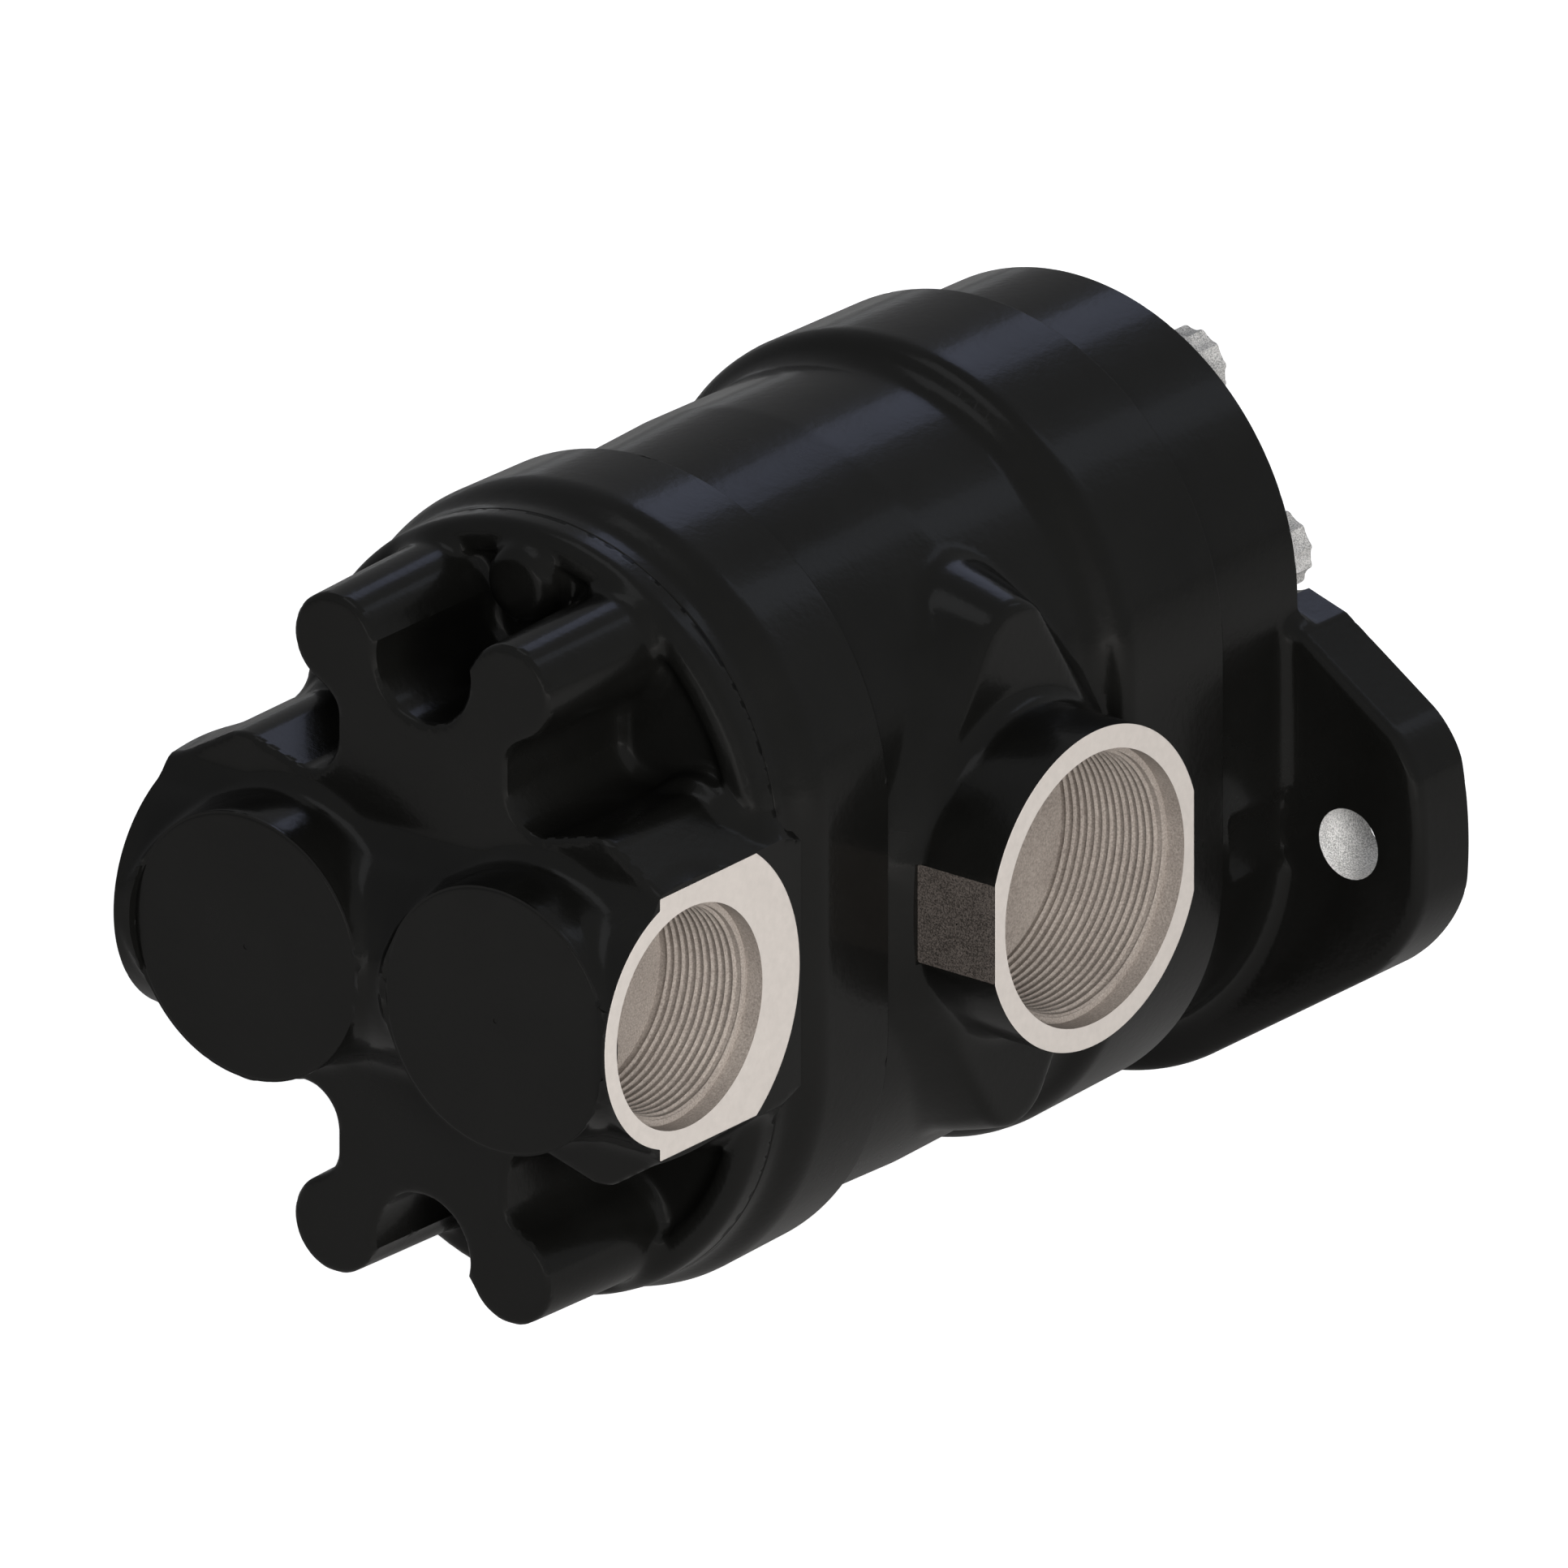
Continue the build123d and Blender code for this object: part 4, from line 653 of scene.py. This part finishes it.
def turnedAcross(profile, depth, around):
    # Loops of a profile of (x, radius) turned about the port's axis; a radius may be an array.
    turn = np.linspace(0, 2 * math.pi, around, endpoint=False)
    return [np.stack([np.full(around, x), depth + radius * np.cos(turn), radius * np.sin(turn)], 1)
            for x, radius in profile]


def portLiner(name, port):
    # Counterbore, bore with a helical thread ridge, floor and passage, as one closed shell.
    size = {"pitch": 1.38, "ridge": 0.5, "share": 0.36, "crest": 1.5, "rows": 12, "fadeIn": 0.6, "gap": 0.1,
            "wall": 0.5, "around": 192, "passageDepth": 9}
    gap, wall = size["gap"], size["wall"]
    face, bore, mouth, passage = port["face"], port["bore"], port["mouth"], port["passage"]
    turn = np.linspace(0, 1, size["around"], endpoint=False)
    threadTop = face - port["mouthDepth"]
    floor = threadTop - port["length"]
    inner = bore - gap
    rows = np.arange(threadTop - 0.15, floor + 0.9, -size["pitch"] / size["rows"])
    profile = [(face - 0.01, mouth - gap), (threadTop + gap, mouth - gap), (threadTop + gap, inner + 0.25),
               (threadTop, inner)]
    for x in rows:
        phase = np.mod((threadTop - x) / size["pitch"] - port["side"] * turn, 1)
        ridge = np.maximum(0, 1 - np.abs(phase - 0.5) / (size["share"] / 2))
        fade = min(1, (threadTop - x) / size["fadeIn"])
        profile.append((x, inner - size["ridge"] * np.minimum(ridge * size["crest"], 1) * fade))
    end = floor - size["passageDepth"]
    profile += [(floor + 0.7, inner), (floor + gap, inner), (floor + gap, passage - gap),
                (end, passage - gap), (end, passage + wall), (floor - 0.4, passage + wall),
                (floor - 0.4, bore + wall), (threadTop - 0.4, bore + wall), (threadTop - 0.4, mouth + wall),
                (face - 0.01, mouth + wall)]
    loops = np.array(turnedAcross(profile, port["depth"], size["around"]))
    loops[:, :, 0] *= port["side"]
    newObject(name, loftMesh(name, loops, 28), threadMetal)


def faceRing(name, port):
    # A flat machined face around a port; port["reach"] gives its outline's distance from the axis.
    size = {"thick": 0.06, "edge": 0.15, "fall": 0.03, "lap": 0.1, "around": 720}
    turn = np.linspace(0, 2 * math.pi, size["around"], endpoint=False)
    face, low = port["face"], port["face"] - size["thick"]
    outer = port["reach"](turn)
    inner = np.full_like(turn, port["mouth"] - size["lap"])
    loops = []
    for x, radius in ((low, inner), (face, inner), (face, outer - size["edge"]), (face - size["fall"], outer),
                      (low, outer)):
        loops.append(np.stack([np.full_like(turn, port["side"] * x), port["depth"] + radius * np.cos(turn),
                               radius * np.sin(turn)], 1))
    newObject(name, loftMesh(name, loops, 5), machined)


def inletReach(turn):
    return np.minimum(25.15, 23.85 / np.maximum(np.abs(np.cos(turn)), 1e-6))  # round, with two flats


def rearOutletReach(turn):
    top = 21.0 / np.maximum(np.abs(np.sin(turn)), 1e-6)
    rear = np.where(np.cos(turn) > 0, 7.0 / np.maximum(np.cos(turn), 1e-6), 100)
    return np.minimum(26.45, np.maximum(20.35, np.minimum(top, rear)))


def frontOutletReach(turn):
    return np.full_like(turn, 20.5)


ports = {"inlet": {"depth": 82.8, "side": 1, "face": 61.3, "bore": 20.64, "mouth": 21.6, "mouthDepth": 3.3,
                   "length": 19.2, "passage": 10.0, "reach": inletReach},
         "rearOutlet": {"depth": 159.6, "side": 1, "face": 45.2, "bore": 16.67, "mouth": 17.6,
                        "mouthDepth": 3.1, "length": 15.6, "passage": 8.0, "reach": rearOutletReach},
         "frontOutlet": {"depth": 82.8, "side": -1, "face": 54.0, "bore": 16.67, "mouth": 17.6,
                         "mouthDepth": 3.1, "length": 15.6, "passage": 8.0, "reach": frontOutletReach}}
for name, port in ports.items():
    portLiner(name + "Liner", port)
for name, port in ports.items():
    faceRing(name + "Face", port)


def turnedAlong(profile, x, h, around):
    # Loops of a profile of (depth, radius) turned about an axis that runs along the depth.
    turn = np.linspace(0, 2 * math.pi, around, endpoint=False)
    return [np.stack([x + radius * np.cos(turn), np.full(around, d), radius * np.sin(turn) + h], 1)
            for d, radius in profile]


def bossCap(name, x):
    # A turned end over a round cast boss, with its edge rounded.
    size = {"radius": 21.12, "round": 0.7, "end": 178.8, "depth": 2.6, "thick": 1.2, "around": 256}
    r, e, end = size["radius"], size["round"], size["end"]
    bend = np.linspace(0, math.pi / 2, 6)
    profile = [(end, 0.4), (end, r * 0.5), (end, r - e - 0.25)]
    profile += [(end - e + e * math.cos(a), r - e + e * math.sin(a)) for a in bend]
    profile += [(end - size["depth"], r - 0.02), (end - size["depth"] - 0.05, r - 1.2),
                (end - size["thick"], r - 1.5), (end - size["thick"], 0.4)]
    loops = turnedAlong(profile, x, 0, size["around"])
    newObject(name, loftMesh(name, loops, 30), paint)


for name, x in (("farBossCap", -cover["discX"]), ("nearBossCap", cover["discX"])):
    bossCap(name, x)


def bossFlat(name):
    # The bare, sawn plane behind the inlet, slightly rounded at its corners.
    size = {"x": (46.62, 61.26), "depth": (106.5, 106.66), "h": (-7.85, 7.85), "corner": 0.03, "around": 64}
    (x0, x1), (d0, d1), (h0, h1), around = size["x"], size["depth"], size["h"], size["around"]
    r = min(x1 - x0, h1 - h0) * size["corner"]
    turn = np.linspace(0, 2 * math.pi, around, endpoint=False)
    ring = np.stack([np.where(np.cos(turn) > 0, x1 - r, x0 + r) + r * np.cos(turn),
                     np.where(np.sin(turn) > 0, h1 - r, h0 + r) + r * np.sin(turn)], 1)
    middle = np.array([(x0 + x1) / 2, (h0 + h1) / 2])
    core = middle + (ring - middle) * 0.02
    loops = [np.stack([shape[:, 0], np.full(around, d), shape[:, 1]], 1)
             for d, shape in ((d0, ring), (d1, ring), (d1, core), (d0, core))]
    newObject(name, loftMesh(name, loops, 20), sawnIron)


bossFlat("inletBossFlat")


def holeLiner(name, x):
    size = {"radius": 5.55, "gap": 0.06, "wall": 0.3, "start": 0.02, "end": 11.59, "around": 96}
    r, start, end = size["radius"], size["start"], size["end"]
    profile = [(start, r - size["gap"]), (end - 0.09, r - size["gap"]), (end, r), (end, r + size["wall"]),
               (start, r + size["wall"])]
    loops = turnedAlong(profile, x, -midZ, size["around"])
    newObject(name, loftMesh(name, loops), boltSteel)


for name, x in (("mountingHoleNear", flange["holeX"]), ("mountingHoleFar", -flange["holeX"])):
    holeLiner(name, x)
print("machined faces and threads ready")


def repeatTree():
    # Copies of one master at the corners of a Width by Height grid, standing upright.
    tree = bpy.data.node_groups.new("fourPlaces", "GeometryNodeTree")
    for label, kind in (("Master", "Object"), ("Width", "Float"), ("Height", "Float"), ("Middle", "Float"),
                        ("Material", "Material")):
        tree.interface.new_socket(label, in_out="INPUT", socket_type="NodeSocket" + kind)
    tree.interface.new_socket("Geometry", in_out="OUTPUT", socket_type="NodeSocketGeometry")
    source = tree.nodes.new("NodeGroupInput").outputs
    result = tree.nodes.new("NodeGroupOutput")
    grid = addNode(tree, "GeometryNodeMeshGrid", {"Size X": source["Width"], "Size Y": source["Height"],
                                                  "Vertices X": 2, "Vertices Y": 2})
    place = addNode(tree, "ShaderNodeCombineXYZ", {"Z": source["Middle"]})
    upright = addNode(tree, "GeometryNodeTransform", {"Geometry": grid.outputs["Mesh"],
                                                      "Translation": place.outputs[0],
                                                      "Rotation": (math.pi / 2, 0, 0)})
    master = addNode(tree, "GeometryNodeObjectInfo", {"Object": source["Master"]})
    copies = addNode(tree, "GeometryNodeInstanceOnPoints", {"Points": upright.outputs["Geometry"],
                                                            "Instance": master.outputs["Geometry"]})
    real = addNode(tree, "GeometryNodeRealizeInstances", {"Geometry": copies.outputs["Instances"]})
    coated = addNode(tree, "GeometryNodeSetMaterial", {"Geometry": real.outputs["Geometry"],
                                                       "Material": source["Material"]})
    tree.links.new(coated.outputs["Geometry"], result.inputs["Geometry"])
    return tree


places = repeatTree()


def fourCopies(name, master, halfX, halfH, replaced=()):
    thing = draftObject(name, bpy.data.meshes.new(name))
    copies = thing.modifiers.new("fourPlaces", "NODES")
    copies.node_group = places
    sockets = {item.name: item.identifier for item in places.interface.items_tree if item.in_out == "INPUT"}
    for label, value in (("Master", master), ("Width", 2 * halfX / 1000), ("Height", 2 * halfH / 1000),
                         ("Middle", midZ / 1000), ("Material", boltSteel)):
        copies[sockets[label]] = value
    newObject(name, bakedMesh(thing), boltSteel, replaced=replaced)


def screwMaster(name, shankEnd):
    # A 12-point head over its own flange and shank, along the depth, on the shaft's axis.
    size = {"head": 6.3, "valley": 0.8966, "top": 1.6, "chamfer": 0.55, "flangeTop": 6.0, "seat": 7.2,
            "flange": 6.6, "shank": 5.5, "dimple": 3.4, "point": 1.0, "points": 12, "around": 96}
    turn = np.linspace(0, 2 * math.pi, size["around"], endpoint=False)
    share = 2 * math.pi / size["points"]
    saw = np.abs(np.mod(turn / share, 1) * 2 - 1)
    star = size["head"] * size["valley"] / (np.cos(share * (1 - saw)) + 1e-9)
    star = np.minimum(star, size["head"])
    top, fall, head, dimple = size["top"], size["chamfer"], size["head"], size["dimple"]
    under, seat, rim, shank = size["flangeTop"], size["seat"], size["flange"], size["shank"]
    profile = [(top + 0.5, dimple * 0.2), (top + 0.45, dimple - 0.4), (top, dimple),
               (top, np.minimum(star, head - fall) - 0.15), (top + fall * 0.6, np.minimum(star, head - 0.1)),
               (top + fall * 1.4, star), (under - 0.3, star), (under, star + 0.25), (under, rim - 0.25),
               (under + 0.25, rim), (seat - 0.15, rim), (seat, rim - 0.15), (seat, shank),
               (shankEnd - size["point"], shank), (shankEnd, shank - size["point"]), (shankEnd, 0.3)]
    loops = turnedAlong(profile, 0, -midZ, size["around"])
    return bpy.data.objects.new(name, loftMesh(name, loops, 22))


def washerMaster(name):
    size = {"outer": 7.0, "inner": 5.8, "start": 7.22, "end": 8.78, "edge": 0.2, "around": 96}
    inner, outer, start, end, edge = size["inner"], size["outer"], size["start"], size["end"], size["edge"]
    profile = [(start, inner + edge), (start, outer - edge), (start + edge, outer), (end - edge, outer),
               (end, outer - edge), (end, inner + edge), (end - edge, inner), (start + edge, inner)]
    loops = turnedAlong(profile, 0, -midZ, size["around"])
    return bpy.data.objects.new(name, loftMesh(name, loops, 30))


longMaster = screwMaster("longScrewMaster", 162.7)
sideMaster = screwMaster("sideScrewMaster", 143.0)
washer = washerMaster("washerMaster")
fourCopies("longScrews", longMaster, cover["lugX"], cover["lugH"], ("long_cap_screws",))
fourCopies("sideScrews", sideMaster, cover["landX"], cover["landH"], ("side_cap_screws",))
fourCopies("lugWashers", washer, cover["lugX"], cover["lugH"], ("screw_washers",))
fourCopies("sideWashers", washer, cover["landX"], cover["landH"])
for master in (longMaster, sideMaster, washer):
    mesh = master.data
    bpy.data.objects.remove(master)
    bpy.data.meshes.remove(mesh)
print("screws ready")

for name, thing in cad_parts.items():
    if name.endswith("_seal"):
        material = rubber
    elif "bushing" in name or "plate" in name:
        material = bronze
    else:
        material = springSteel if name == "seal_retaining_ring" else groundSteel
    for place in thing.material_slots:
        place.material = material
print("nodes finished")
